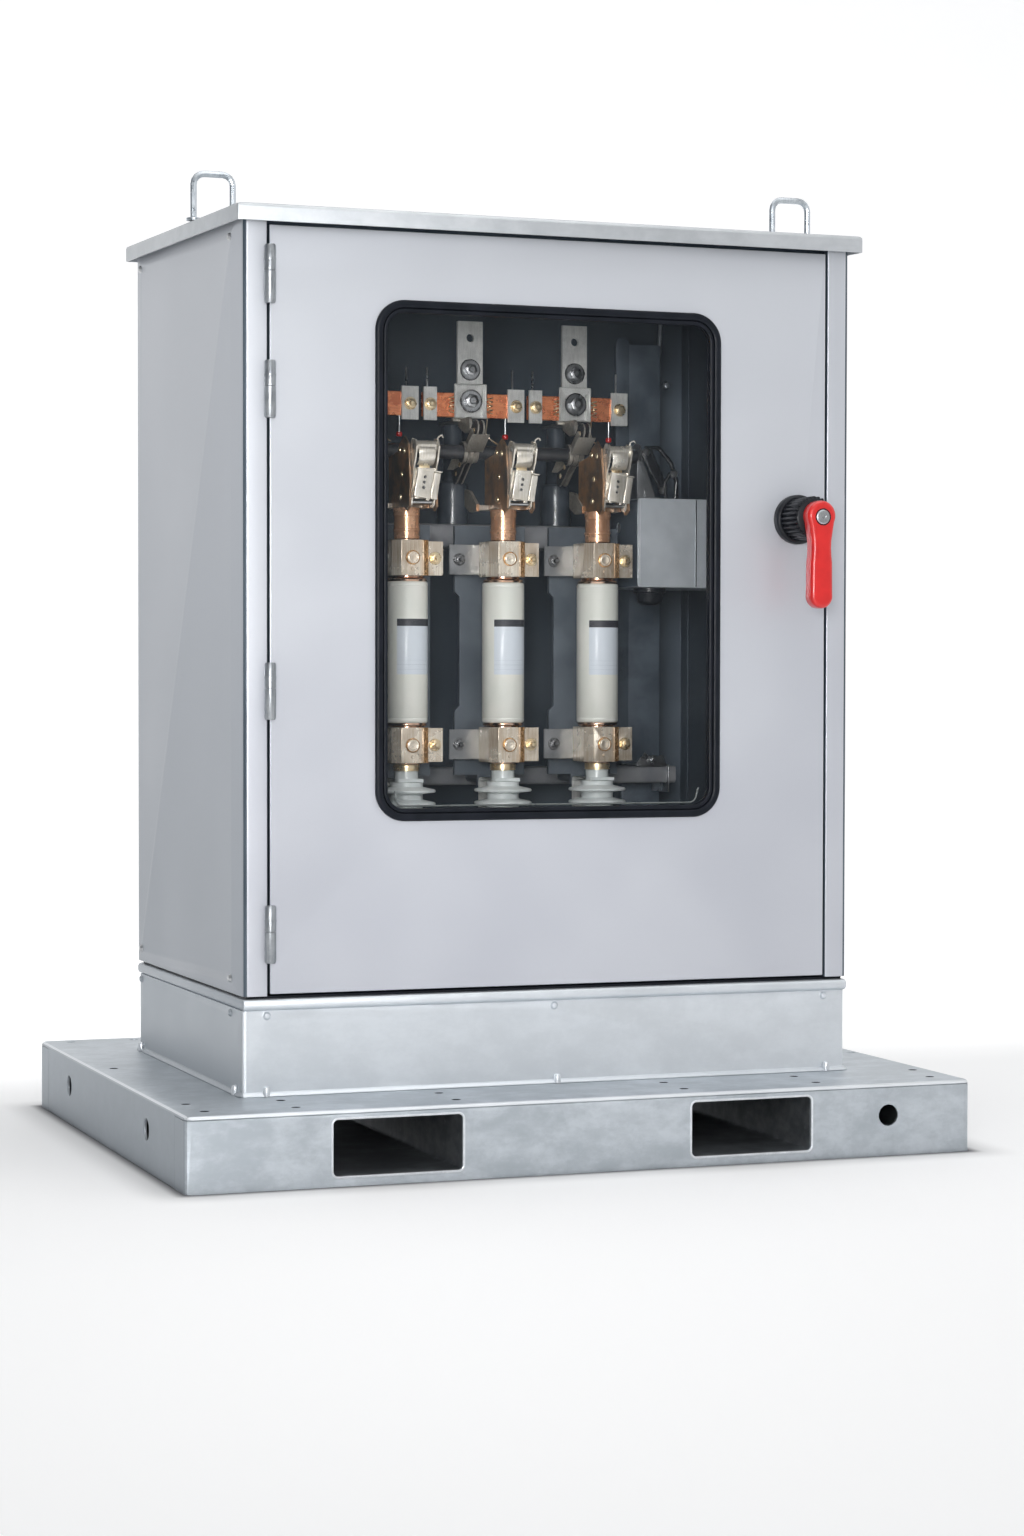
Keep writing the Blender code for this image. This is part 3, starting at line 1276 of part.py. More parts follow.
def fuse(index):
    """A ceramic body between two metal caps, each cap with a wider ring against the ceramic."""
    low, high = FUSE_BODY_Z
    foot = STUD_TOP_Z + FIT
    top = UPPER_CLIP_Z + CLIP_H + 0.001
    profile = [(0.0, top), (CAP_R, top), (CAP_R, high + 0.007), (CAP_RING_R, high + 0.006),
               (CAP_RING_R, high), (FUSE_R - 0.002, high - SEAT), (FUSE_R, high - 0.003), (FUSE_R, low + 0.003),
               (FUSE_R - 0.002, low + SEAT), (CAP_RING_R, low), (CAP_RING_R, low - 0.005), (CAP_R, low - 0.006),
               (CAP_R, foot), (0.0, foot)]
    finish("fuse_" + PHASES[index], turned(profile, (fuse_x(index), FUSE_Y, 0.0), "z", 16), CERAMIC)


def clip_shapes(x, low):
    """A bracket on the board, the strap round the cap with a stamped roundel, a lug, and bolts."""
    half = CLIP_W / 2
    corner = half * 0.42
    back = half - 0.001
    high = low + CLIP_H
    middle = (low + high) / 2
    ring = [(-half, -half + corner), (-half + corner, -half), (half - corner, -half), (half, -half + corner),
            (half, back), (-half, back)]
    ring = [(x + px, FUSE_Y + py) for px, py in ring]
    strap = plate("xy", [ring, circle((x, FUSE_Y), CAP_R + CLIP_FIT, 16)], low, high)
    lug = box((x + half - 0.002, FUSE_Y - 0.004, low + 0.001), (x + half + CLIP_LUG, FUSE_Y, high - 0.001))
    roundel = rod("y", (x, FUSE_Y - half, middle), 0.009, 0.003, 12)
    sheet_y = FUSE_Y + back - SEAT
    sheet = box((x - 0.078, sheet_y, low + 0.004), (x + half - 0.001, sheet_y + 0.003, high - 0.004))
    spacer = box((x - 0.020, sheet_y + 0.001, low + 0.012), (x + 0.020, BOARD_Y + SEAT, high - 0.012))
    return [spacer, sheet, strap, lug, roundel,
            bolt("y", (x + half + 0.015, FUSE_Y - 0.004, middle), -1, 0.0075, 0.007),
            bolt("y", (x - 0.062, sheet_y, middle), -1, 0.007, 0.007)]


def fuse_foot(index):
    """The ribbed post insulator under a fuse, with its stud and the tinned bar to the cable terminal."""
    x = fuse_x(index)
    low = SHELF_Z + FIT
    profile = [(0.0, STUD_TOP_Z), (0.0200, STUD_TOP_Z),
               (0.0200, POST_TOP_Z + 0.017), (0.0175, POST_TOP_Z + 0.015),
               (0.0175, POST_TOP_Z), (NECK_R, POST_TOP_Z)]
    for shed in range(SHEDS):
        rim = POST_TOP_Z - 0.0145 - shed * SHED_PITCH
        profile += [(NECK_R, rim + 0.006), (SHED_R, rim + 0.0012),
                    (SHED_R, rim - 0.0018), (NECK_R, rim - 0.0045)]
    profile += [(NECK_R + 0.006, low + 0.012), (NECK_R + 0.006, low), (0.0, low)]
    post = turned(profile, (x, FUSE_Y, 0.0), "z", 14)
    top = POST_TOP_Z - SEAT + LOAD_BAR_T
    tail_y = BOARD_Y - 0.0035
    tail_z = POST_TOP_Z - 0.092
    section = [(FUSE_Y - 0.022, top), (tail_y, top), (tail_y, tail_z)]
    strip = plate("yz", [folded(section, -LOAD_BAR_T, 0.008)], x - 0.020, x + 0.020)
    hole = rod("y", (x, tail_y, tail_z + 0.018), 0.0065, 0.03, 12)
    finish("fuse_foot_" + PHASES[index], weld(post, cut(strip, hole)), RESIN)


# Mechanism

def bevel_gear(teeth, mate_teeth, tooth_at_zero):
    """A straight bevel gear about Z with its cone's tip at the origin, its big end below."""
    pitch_r = GEAR_MODULE * teeth / 2
    reach = GEAR_MODULE * mate_teeth / 2
    slant = math.hypot(pitch_r, reach)
    cone = math.atan2(pitch_r, reach)
    tip_r = reach * math.tan(cone + 0.75 * GEAR_MODULE / slant)
    root_r = reach * math.tan(cone - 1.1 * GEAR_MODULE / slant)
    pitch = 2 * math.pi / teeth
    outline = []
    for tooth in range(teeth):
        middle = pitch * (tooth + (0.0 if tooth_at_zero else 0.5))
        for share, radius in ((-0.27, root_r), (-0.11, tip_r), (0.11, tip_r), (0.27, root_r)):
            angle = middle + share * pitch
            outline.append((radius * math.cos(angle), radius * math.sin(angle), -reach))
    bm = bmesh.new()
    face = bm.faces.new([bm.verts.new(point) for point in outline])
    grown = bmesh.ops.extrude_face_region(bm, geom=[face])
    inner = [item for item in grown["geom"] if isinstance(item, bmesh.types.BMVert)]
    bmesh.ops.scale(bm, vec=(GEAR_TAPER,) * 3, verts=inner)
    return from_bmesh(bm)


def spindle():
    """The handle's spindle: a cup that takes the door shaft, a long rod and the small bevel gear."""
    cup_y = FRONT_Y + DOOR_DEPTH + 0.0015
    gear_back = GEAR_Y - GEAR_MODULE * OUTPUT_TEETH / 2
    axis = (HANDLE_X, HANDLE_Z)
    ring = [(SOCKET_BORE_R, cup_y + SOCKET_DEPTH), (SOCKET_BORE_R, cup_y), (SOCKET_R, cup_y),
            (SOCKET_R, cup_y + SOCKET_DEPTH + 0.006), (0.0, cup_y + SOCKET_DEPTH + 0.006),
            (0.0, cup_y + SOCKET_DEPTH), (SOCKET_BORE_R, cup_y + SOCKET_DEPTH)]
    cup = turned([(r, h) for r, h in ring[::-1]], (axis[0], 0.0, axis[1]), "y", 18)
    start = cup_y + SOCKET_DEPTH + 0.003
    bar = rod("y", (axis[0], (start + gear_back) / 2 + 0.001, axis[1]), SPINDLE_R,
              gear_back - start + 0.004, 14)
    gear = bevel_gear(SPINDLE_TEETH, OUTPUT_TEETH, True)
    place = Matrix.Translation((HANDLE_X, GEAR_Y, HANDLE_Z))
    turn = Matrix.Rotation(math.radians(-90.0), 4, "X") @ Matrix.Rotation(math.pi, 4, "Z")
    gear.data.transform(place @ turn)
    hub = rod("y", (axis[0], gear_back - 0.004, axis[1]), 0.0125, 0.010, 16)
    finish("spindle", weld(cup, bar, hub, gear), ZINC, (HANDLE_X, GEAR_Y, HANDLE_Z))


def output_shaft():
    """The shaft across the box: the large bevel gear at its right, the crank near its left end."""
    gear_back = HANDLE_X - GEAR_MODULE * SPINDLE_TEETH / 2
    axis = (GEAR_Y, HANDLE_Z)
    start = BOX_X + SHEET_T + 0.001
    bar = rod("x", ((start + gear_back) / 2 + 0.001, *axis), SPINDLE_R, gear_back - start + 0.002, 14)
    gear = bevel_gear(OUTPUT_TEETH, SPINDLE_TEETH, False)
    place = Matrix.Translation((HANDLE_X, GEAR_Y, HANDLE_Z))
    turn = Matrix.Rotation(math.radians(90.0), 4, "Y") @ Matrix.Rotation(math.radians(-90.0), 4, "Z")
    gear.data.transform(place @ turn)
    hub = rod("x", (gear_back - 0.005, *axis), 0.014, 0.012, 16)
    pin = crank_pin(HANDLE_Z)
    crank = eye_plate(CRANK_X, CRANK_X + CRANK_T, axis, pin, 0.0125, 0.0075, [])
    stub = rod("x", ((LINK_X + CRANK_X) / 2 + 0.0005, *pin), PIN_R, CRANK_X - LINK_X + 0.001, 10)
    finish("output_shaft", weld(bar, hub, gear, crank, stub), ZINC, (HANDLE_X, GEAR_Y, HANDLE_Z))


def drive_link():
    """The link from the crank up to the rotor's arm. Its upper eye runs with clearance."""
    lower, upper = crank_pin(HANDLE_Z), crank_pin(ROTOR_Z)
    half = LINK_W / 2
    bores = [circle(lower, PIN_R + FIT, 10), circle(upper, PIN_R + 0.0006, 10)]
    shape = eye_plate(LINK_X, LINK_X + LINK_T, lower, upper, half, half - 0.0001, bores)
    finish("drive_link", shape, BRONZE, (LINK_X, *lower))


def mechanism_housing():
    """The steel box on the right wall with the output shaft's bearing, slotted at the top for the link."""
    low = (BOX_X, BOX_Y[0] + SHEET_T + FIT, BOX_Z[0])
    high = (CABINET_HALF_W - SHEET_T - FIT, BOX_Y[1], BOX_Z[1])
    shell = tray(low, high, "-y", SHEET_T, 0.005)
    pin_y = ROTOR_Y + CRANK_R
    slot = box((LINK_X - 0.003, pin_y - 0.014, BOX_Z[1] - 0.01),
               (LINK_X + LINK_T + 0.003, pin_y + 0.012, BOX_Z[1] + 0.01))
    axis = (GEAR_Y, HANDLE_Z)
    bore = rod("x", (BOX_X, *axis), SPINDLE_R + FIT, 0.02, 12)
    entry = rod("z", (GLAND_X, GLAND_Y, BOX_Z[0]), 0.012, 0.02, 12)
    floor = BOX_Z[0] + SHEET_T - SEAT
    web = [(GEAR_Y - 0.030, floor), (GEAR_Y + 0.030, floor)] + arc(axis, 0.016, 20.0, 160.0, 6)
    bearing = plate("yz", [web, circle(axis, SPINDLE_R + FIT, 12)], BOX_SPLIT_X, BOX_SPLIT_X + 0.006)
    finish("mechanism_housing", weld(cut(shell, slot, bore, entry), bearing), BOX_PAINT)


def mechanism_cover():
    """The front cover with its split line and the spindle's bush."""
    back = BOX_Y[0] + SHEET_T
    right_end = CABINET_HALF_W - SHEET_T - FIT
    axis = (HANDLE_X, HANDLE_Z)
    sheet = plate("xz", [rectangle((BOX_X, BOX_Z[0]), (right_end, BOX_Z[1]), 0.004, 2),
                         circle(axis, SPINDLE_R + 0.003, 12)], BOX_Y[0], back)
    groove = box((BOX_SPLIT_X - 0.001, BOX_Y[0] - 0.01, BOX_Z[0] - 0.01),
                 (BOX_SPLIT_X + 0.001, BOX_Y[0] + SHEET_T / 2, BOX_Z[1] + 0.01))
    bush = plate("xz", [circle(axis, 0.015, 16), circle(axis, SPINDLE_R + FIT, 12)],
                 BOX_Y[0] - 0.006, back + 0.010)
    finish("mechanism_cover", weld(cut(sheet, groove), bush), BOX_PAINT)


def cable_gland():
    top = BOX_Z[0] - FIT
    bore = 0.008
    ring = [(bore, top), (0.026, top), (0.026, top - 0.007), (0.022, top - 0.008), (0.020, top - 0.022),
            (0.013, top - 0.027), (bore, top - 0.027), (bore, top)]
    finish("cable_gland", turned(ring, (GLAND_X, GLAND_Y, 0.0), "z", 14), BLACK)


def build():
    base_deck()
    base_end_rails()
    for side, middle in zip(("left", "right"), pocket_middles()):
        fork_tube("fork_tube_" + side, middle)
    plinth_frame()
    plinth_cap_frame()
    plinth_seal()
    cabinet_side_panels()
    cabinet_back_panel()
    cabinet_floor()
    gland_plate()
    door_frame()
    roof()
    lifting_eye("lifting_eye_left", EYE_LEFT)
    lifting_eye("lifting_eye_right", EYE_RIGHT)
    door_panel()
    door_seal()
    window_gasket()
    window_glass()
    handle_boss()
    handle_knob()
    handle_lever()
    handle_shaft()
    upright("upright_left", UPRIGHT_LEFT_X)
    upright("upright_right", UPRIGHT_RIGHT_X)
    upper_rail()
    finish("lower_rail", cross_rail(LOWER_RAIL_Z), DARK_SHEET)
    insulator_shelf()
    rotor()
    rotor_bearings()
    for index in range(3):
        line_bar(index)
        contact_bar(index)
        back_board(index)
        fuse(index)
        fuse_foot(index)
        latch_head(index)
        latch(index)
    spindle()
    output_shaft()
    drive_link()
    mechanism_housing()
    mechanism_cover()
    cable_gland()


build()
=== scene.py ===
"""The looks of an outdoor fused disconnect switch: a silver cabinet on a galvanised plinth and base,
with three phases of knife blades, latches, fuses and post insulators behind the window in its door."""
import json
import math

import bmesh
import bpy
from mathutils import Matrix, Vector


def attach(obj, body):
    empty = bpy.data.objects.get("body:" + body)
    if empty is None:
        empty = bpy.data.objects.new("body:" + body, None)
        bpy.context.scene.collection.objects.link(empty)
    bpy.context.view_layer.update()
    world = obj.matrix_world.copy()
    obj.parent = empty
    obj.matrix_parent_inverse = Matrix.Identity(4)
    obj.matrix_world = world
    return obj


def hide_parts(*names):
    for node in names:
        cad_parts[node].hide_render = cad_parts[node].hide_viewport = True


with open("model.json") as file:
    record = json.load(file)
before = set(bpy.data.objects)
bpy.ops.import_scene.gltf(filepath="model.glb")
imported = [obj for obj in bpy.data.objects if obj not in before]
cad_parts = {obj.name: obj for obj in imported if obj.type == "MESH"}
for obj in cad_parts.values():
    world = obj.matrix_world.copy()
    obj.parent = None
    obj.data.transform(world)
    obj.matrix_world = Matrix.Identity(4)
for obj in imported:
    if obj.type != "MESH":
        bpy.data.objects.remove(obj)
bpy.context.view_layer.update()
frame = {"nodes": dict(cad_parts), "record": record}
BODY_OF = {node: body for body, nodes in frame["record"]["behaviour"]["bodies"].items() for node in nodes}

# Places on the CAD model, in metres
PHASES = ("a", "b", "c")
FUSE_X = {phase: 0.014 + (place - 1) * 0.157 for place, phase in enumerate(PHASES)}
LINE_X = {phase: -0.006 + (place - 1) * 0.176 for place, phase in enumerate(PHASES)}
DOOR_Y = -0.3135
CABINET_SIDE = 0.474
BASE_LEFT, BASE_FRONT = -0.600, -0.4755
HOLE_SHADE_Z, LUG_Z = 0.1046, 0.1076
HINGE_X, HINGE_Y = -0.43625, -0.3213
HINGE_SPANS = ((1.2317, 1.3133), (1.0705, 1.1505), (0.6443, 0.7239), (0.2987, 0.3793))
HANDLE_X, HANDLE_Z = 0.387, 0.942
FUSE_Y, POST_Y = -0.050, 0.130
FUSE_LOW, FUSE_HIGH = 0.6345, 0.850
ROTOR_Y, ROTOR_Z = 0.020, 1.055
BLADE_SHIFT = -0.012
LATCH_Y, LATCH_Z, LATCH_SHIFT = -0.090, 0.970, 0.010
ROLLER_Y, ROLLER_Z = LATCH_Y - 0.019, LATCH_Z + 0.082
CLAMP_Z, LINE_BOLT_Z = 1.137, 1.186


# Finishes

class Signal:
    """An output of a shader node; sums and products of signals add the Math nodes they need."""

    def __init__(self, finish, socket):
        self.finish = finish
        self.socket = socket

    def maths(self, operation, first, second):
        return self.finish.node("Math", {"operation": operation}, [first, second])

    def __add__(self, other):
        return self.maths("ADD", self, other)

    def __sub__(self, other):
        return self.maths("SUBTRACT", self, other)

    def __rsub__(self, other):
        return self.maths("SUBTRACT", other, self)

    def __mul__(self, other):
        return self.maths("MULTIPLY", self, other)

    def __gt__(self, level):
        return self.maths("GREATER_THAN", self, level)

    def __lt__(self, level):
        return self.maths("LESS_THAN", self, level)

    def __abs__(self):
        return self.finish.node("Math", {"operation": "ABSOLUTE"}, [self])

    def spread(self, low, high, start=0.0, end=1.0):
        """Stretched so that low becomes start and high becomes end, smoothly and no further."""
        smooth = {"interpolation_type": "SMOOTHSTEP"}
        return self.finish.node("MapRange", smooth, [self, low, high, start, end])

    __radd__ = __add__
    __rmul__ = __mul__


class Nodes:
    """A node tree whose nodes are added by their type."""

    def __init__(self, owner):
        owner.use_nodes = True
        self.tree = owner.node_tree

    def node(self, kind, settings=None, values=(), output=0):
        """Add a node with its settings, fill its sockets with numbers or signals, and give one output."""
        made = self.tree.nodes.new("ShaderNode" + kind)
        for setting, value in (settings or {}).items():
            setattr(made, setting, value)
        pairs = values.items() if isinstance(values, dict) else enumerate(values)
        for key, value in pairs:
            if isinstance(value, Signal):
                self.tree.links.new(value.socket, made.inputs[key])
            elif isinstance(value, tuple) and made.inputs[key].type == "RGBA":
                made.inputs[key].default_value = (*value, 1.0)
            else:
                made.inputs[key].default_value = value
        return Signal(self, made.outputs[output])

    def blended(self, share, first, second):
        """Two colours mixed: the first where the share is zero, the second where it is one."""
        return self.node("Mix", {"data_type": "RGBA"}, {0: share, 6: first, 7: second}, 2)


class Finish(Nodes):
    """A material with one Principled surface."""

    def __init__(self, name, color, roughness, metallic, **fixed):
        self.material = bpy.data.materials.new(name)
        super().__init__(self.material)
        self.surface = self.tree.nodes["Principled BSDF"]
        self.feed("Base Color", color)
        self.feed("Roughness", roughness)
        self.feed("Metallic", metallic)
        for socket, value in fixed.items():
            self.feed(socket.replace("_", " "), value)

    def feed(self, socket, value):
        target = self.surface.inputs[socket]
        if isinstance(value, Signal):
            self.tree.links.new(value.socket, target)
        elif isinstance(value, tuple):
            target.default_value = (*value, 1.0)
        else:
            target.default_value = value

    def here(self):
        """A point's place on the object."""
        return self.node("TexCoord", output="Object")

    def place(self, scale=(1.0, 1.0, 1.0)):
        """Where on the object a point lies, with its pattern stretched."""
        return self.node("Mapping", {}, {"Vector": self.here(), "Scale": scale})

    def along(self, axis):
        """A point's distance from the origin along one axis, in metres."""
        return self.node("SeparateXYZ", {}, [self.here()], "XYZ".index(axis))

    def cloud(self, size, detail=3.0, roughness=0.55, stretch=(1.0, 1.0, 1.0)):
        """Soft noise whose lumps are about this size in metres."""
        return self.node("TexNoise", {}, {"Vector": self.place(stretch), "Scale": 1.0 / size,
                                          "Detail": detail, "Roughness": roughness})

    def flakes(self, size):
        """Random grey for each crystal of about this size."""
        cells = self.node("TexVoronoi", {}, {"Vector": self.place(), "Scale": 1.0 / size}, "Color")
        return self.node("SeparateColor", {}, [cells], 0)

    def bumped(self, height, depth, strength=1.0):
        """Relief of this depth in metres from a height between 0 and 1."""
        relief = self.node("Bump", {}, {"Height": height, "Distance": depth, "Strength": strength}, "Normal")
        self.feed("Normal", relief)

    def within(self, axis, low, high):
        """One between two places along an axis, zero outside them."""
        spot = self.along(axis)
        return (spot > low) * (spot < high)


# Where painted shade and highlight go: a sheet's skin that counts as outside, the roof's inside face, and the
# base's rims
SKIN = 0.0013
ROOF_SLOPE, ROOF_INSIDE = 0.03466, 1.3796
HIGHLIGHT_RIM_WIDTH, HIGHLIGHT_RIM_LOW = 0.0043, 0.1024


def inside_shade_share(finish):
    """One on the faces that look into the cabinet, which take painted shade, zero on its outer faces."""
    side = CABINET_SIDE - SKIN
    walls = finish.within("X", -side, side) * finish.within("Y", DOOR_Y + 0.0006, 0.3127)
    roof = finish.along("Z") - finish.along("Y") * ROOF_SLOPE
    return walls * (roof < ROOF_INSIDE)


def cabinet_finish():
    """Silver paint with cloudy drift, with painted light that makes it paler upwards, and painted shade on
    the left face and on the faces into the cabinet.
    """
    made = Finish("cabinet_silver", (0.6, 0.6, 0.6), 0.4, 0.35)
    drift = made.cloud(0.3, 2.0)
    grain = made.cloud(0.0011, 2.0, 0.7)
    # Painted light: the paint grows paler upwards, as if lit from above
    upward_light = made.along("Z").spread(0.25, 1.35)
    outer = made.blended(drift.spread(0.3, 0.7), (0.49, 0.505, 0.555), (0.54, 0.555, 0.6))
    outer = made.blended(upward_light * 0.5, outer, (0.575, 0.6, 0.63))
    # Painted shade: the left face darker, most of all at the bottom
    left = (made.along("X") < SKIN - CABINET_SIDE) * (1 - upward_light * 0.6)
    outer = made.blended(left * 0.75, outer, (0.25, 0.28, 0.31))
    outer = made.blended(grain.spread(0.3, 0.8) * 0.1, outer, (0.8, 0.8, 0.83))
    # Painted shade: dark blue-grey on the faces that look into the cabinet
    inner = made.blended(drift.spread(0.35, 0.65), (0.05, 0.068, 0.09), (0.095, 0.122, 0.15))
    made.feed("Base Color", made.blended(inside_shade_share(made), outer, inner))
    made.feed("Roughness", 0.36 + drift.spread(0.2, 0.8) * 0.1)
    made.bumped(grain, 0.00003, 0.35)
    return made.material


def galvanised_finish(name, light, dark, streak=0.25, inward_shade=False, rim_highlight=False, left_shade_plane=None):
    """Zinc coating: pale and dark crystals a few centimetres across, soft clouds and rubbed streaks.

    It may have painted shade where it faces inwards, a painted highlight along the base's front and left top
    edges, and painted shade beyond its left side.
    """
    made = Finish(name, light, 0.45, 0.75)
    crystals = made.flakes(0.021) * 0.55 + made.flakes(0.009) * 0.45
    clouds = made.cloud(0.16, 6.0, 0.62)
    stains = made.cloud(0.03, 6.0, 0.7, (0.6, 0.8, 1.2))
    rubbed = made.cloud(0.01, 3.0, 0.6, (0.12, 1.0, 1.0))
    tone = clouds.spread(0.28, 0.72) * 0.45 + crystals * 0.15 + stains.spread(0.3, 0.72) * 0.4
    color = made.blended(tone.spread(0.15, 0.95), dark, light)
    color = made.blended(rubbed.spread(0.62, 0.8) * streak, color, (0.8, 0.83, 0.86))
    # Painted shade on the faces that look into the cabinet
    if inward_shade:
        color = made.blended(inside_shade_share(made), color, (0.07, 0.085, 0.1))
    # Painted highlight: a pale band along the base's front and left top edges
    if rim_highlight:
        rims = (made.along("Y") < BASE_FRONT + HIGHLIGHT_RIM_WIDTH) + (made.along("X") < BASE_LEFT + HIGHLIGHT_RIM_WIDTH)
        color = made.blended((made.along("Z") > HIGHLIGHT_RIM_LOW) * rims * 0.75, color, (0.86, 0.885, 0.91))
    # Painted shade: darker on the faces beyond the left side
    if left_shade_plane:
        color = made.blended((made.along("X") < left_shade_plane) * 0.65, color, (0.23, 0.26, 0.29))
    made.feed("Base Color", color)
    made.feed("Roughness", 0.38 + tone * 0.16)
    made.bumped(stains * 0.6 + crystals * 0.4, 0.00005, 0.4)
    return made.material


def sheet_finish(name, light, dark, roughness, metallic):
    """Painted or plated sheet with drifting tone and a fine grain."""
    made = Finish(name, light, roughness, metallic)
    drift = made.cloud(0.06, 4.0, 0.6)
    fine = made.cloud(0.0015, 2.0, 0.6)
    made.feed("Base Color", made.blended(drift.spread(0.3, 0.7) * 0.8 + fine * 0.2, dark, light))
    made.feed("Roughness", roughness - 0.05 + drift.spread(0.25, 0.75) * 0.1)
    made.bumped(fine, 0.00004, 0.4)
    return made.material


def metal_finish(name, light, dark, roughness, brush=(1.0, 1.0, 0.06), size=0.02, mottle=0.5, metallic=1.0,
                 flank=None):
    """Bare or plated metal: brushed one way, with blotches of tarnish, and on fuse clips a coloured flank."""
    made = Finish(name, light, roughness, metallic)
    lines = made.cloud(0.0012, 2.0, 0.5, brush)
    blotch = made.cloud(size, 5.0, 0.65)
    share = blotch.spread(0.36, 0.64) * mottle + lines.spread(0.3, 0.7) * (1.0 - mottle)
    color = made.blended(share, dark, light)
    if flank:
        for x in FUSE_X.values():
            across = made.along("X") - x
            color = made.blended(across.spread(0.008, 0.022) * (across < 0.033) * 0.7, color, flank)
    made.feed("Base Color", color)
    made.feed("Roughness", roughness - 0.04 + blotch.spread(0.3, 0.75) * 0.12)
    made.bumped(lines, 0.00003, 0.35)
    return made.material


def plastic_finish(name, color, shade, roughness, coat=0.0, gloss=0.5):
    """Moulded plastic with a fine leathery skin."""
    made = Finish(name, color, roughness, 0.0,
                  Coat_Weight=coat, Coat_Roughness=0.12, Specular_IOR_Level=gloss)
    skin = made.cloud(0.0012, 2.0, 0.5)
    drift = made.cloud(0.03, 3.0, 0.5)
    made.feed("Base Color", made.blended(drift.spread(0.35, 0.7), shade, color))
    made.feed("Roughness", roughness + drift.spread(0.3, 0.8) * 0.08)
    made.bumped(skin, 0.00004, 0.35)
    return made.material


def ceramic_finish():
    """Pale glazed ceramic, with a bluish paper label: a plain dark band above three faint ruled lines."""
    made = Finish("fuse_ceramic", (0.7, 0.7, 0.64), 0.32, 0.0, Coat_Weight=0.3, Coat_Roughness=0.12)
    drift = made.cloud(0.05, 3.0)
    glaze = made.blended(drift.spread(0.3, 0.7), (0.7, 0.715, 0.655), (0.76, 0.755, 0.7))
    facing = made.along("Y") < FUSE_Y
    label = 0.0
    for x in FUSE_X.values():
        label = label + made.within("X", x - 0.023, x + 0.0318) * facing
    paper = label * made.within("Z", 0.7085, 0.793)
    band = label * made.within("Z", 0.782, 0.793)
    rules = label * (made.within("Z", 0.723, 0.7236) + made.within("Z", 0.716, 0.7165)
                     + made.within("Z", 0.73, 0.7304))
    color = made.blended(paper, glaze, (0.64, 0.69, 0.745))
    color = made.blended(band, color, (0.035, 0.036, 0.045))
    color = made.blended(rules * 0.35, color, (0.25, 0.3, 0.36))
    made.feed("Base Color", color)
    made.feed("Roughness", 0.3 + paper * 0.22 + drift * 0.05)
    made.bumped(made.cloud(0.004, 2.0), 0.00003, 0.3)
    return made.material


def clear_finish():
    """The window: clear, with a slight grey film that only shows against the dark."""
    made = Finish("window_clear", (0.34, 0.38, 0.41), 0.05, 0.0)
    film = made.cloud(0.16, 4.0, 0.6)
    made.feed("Alpha", 0.01 + film.spread(0.35, 0.75) * 0.01)
    made.material.surface_render_method = "BLENDED"
    return made.material


# Brushed patterns: how they are stretched along x, y and z
LEVEL, ACROSS = (0.06, 1.0, 1.0), (1.0, 0.3, 0.3)
UPRIGHT, FINE_UPRIGHT = (1.0, 1.0, 0.04), (1.0, 1.0, 0.02)

SILVER = cabinet_finish()
# The base has a painted highlight on its rims and painted shade on its left face, the plinth painted shade on
# its left face, and the roof painted shade where it faces inwards
ZINC_BASE = galvanised_finish("galvanised_base", (0.61, 0.65, 0.69), (0.43, 0.47, 0.505), 0.12,
                              rim_highlight=True, left_shade_plane=BASE_LEFT + 0.001)
ZINC_PLINTH = galvanised_finish("galvanised_plinth", (0.76, 0.795, 0.83), (0.68, 0.715, 0.75), 0.06,
                                left_shade_plane=0.0005 - CABINET_SIDE)
ROOF_STEEL = galvanised_finish("roof_steel", (0.6, 0.62, 0.64), (0.5, 0.525, 0.545), 0.06, True)
FORK_STEEL = galvanised_finish("fork_tube_steel", (0.3, 0.32, 0.34), (0.13, 0.14, 0.155))
PLATED = metal_finish("zinc_plated", (0.62, 0.63, 0.64), (0.4, 0.41, 0.42), 0.3)
HINGE_STEEL = metal_finish("hinge_steel", (0.46, 0.48, 0.5), (0.27, 0.29, 0.31), 0.36)
EYE_STEEL = metal_finish("lifting_eye_steel", (0.66, 0.7, 0.73), (0.42, 0.46, 0.5), 0.28)
RUBBER = plastic_finish("gasket_rubber", (0.01, 0.012, 0.018), (0.006, 0.008, 0.012), 0.36, gloss=0.16)
BLACK = plastic_finish("handle_black", (0.012, 0.014, 0.018), (0.008, 0.009, 0.012), 0.34, 0.05, 0.25)
RED = plastic_finish("lever_red", (0.64, 0.012, 0.01), (0.56, 0.009, 0.008), 0.3, 0.5)
CLEAR = clear_finish()
DARK_PAINT = sheet_finish("interior_grey", (0.13, 0.16, 0.195), (0.066, 0.086, 0.11), 0.42, 0.2)
RAIL_PAINT = sheet_finish("rail_grey", (0.33, 0.335, 0.35), (0.19, 0.2, 0.218), 0.38, 0.3)
BOARD_GREY = sheet_finish("insulating_board", (0.12, 0.142, 0.166), (0.07, 0.086, 0.104), 0.5, 0.1)
POST_DARK = plastic_finish("dark_post", (0.07, 0.085, 0.105), (0.04, 0.05, 0.062), 0.3, 0.3)
ROD_DARK = plastic_finish("rotor_rod", (0.05, 0.052, 0.058), (0.028, 0.03, 0.034), 0.36, 0.2)
BOX_SILVER = sheet_finish("mechanism_silver", (0.62, 0.66, 0.7), (0.5, 0.54, 0.575), 0.36, 0.35)
BRACKET_GREY = sheet_finish("bracket_grey", (0.27, 0.275, 0.28), (0.15, 0.158, 0.165), 0.36, 0.6)
ORANGE_COPPER = metal_finish("contact_copper", (0.96, 0.37, 0.17), (0.62, 0.16, 0.07), 0.27, LEVEL,
                             metallic=0.5)
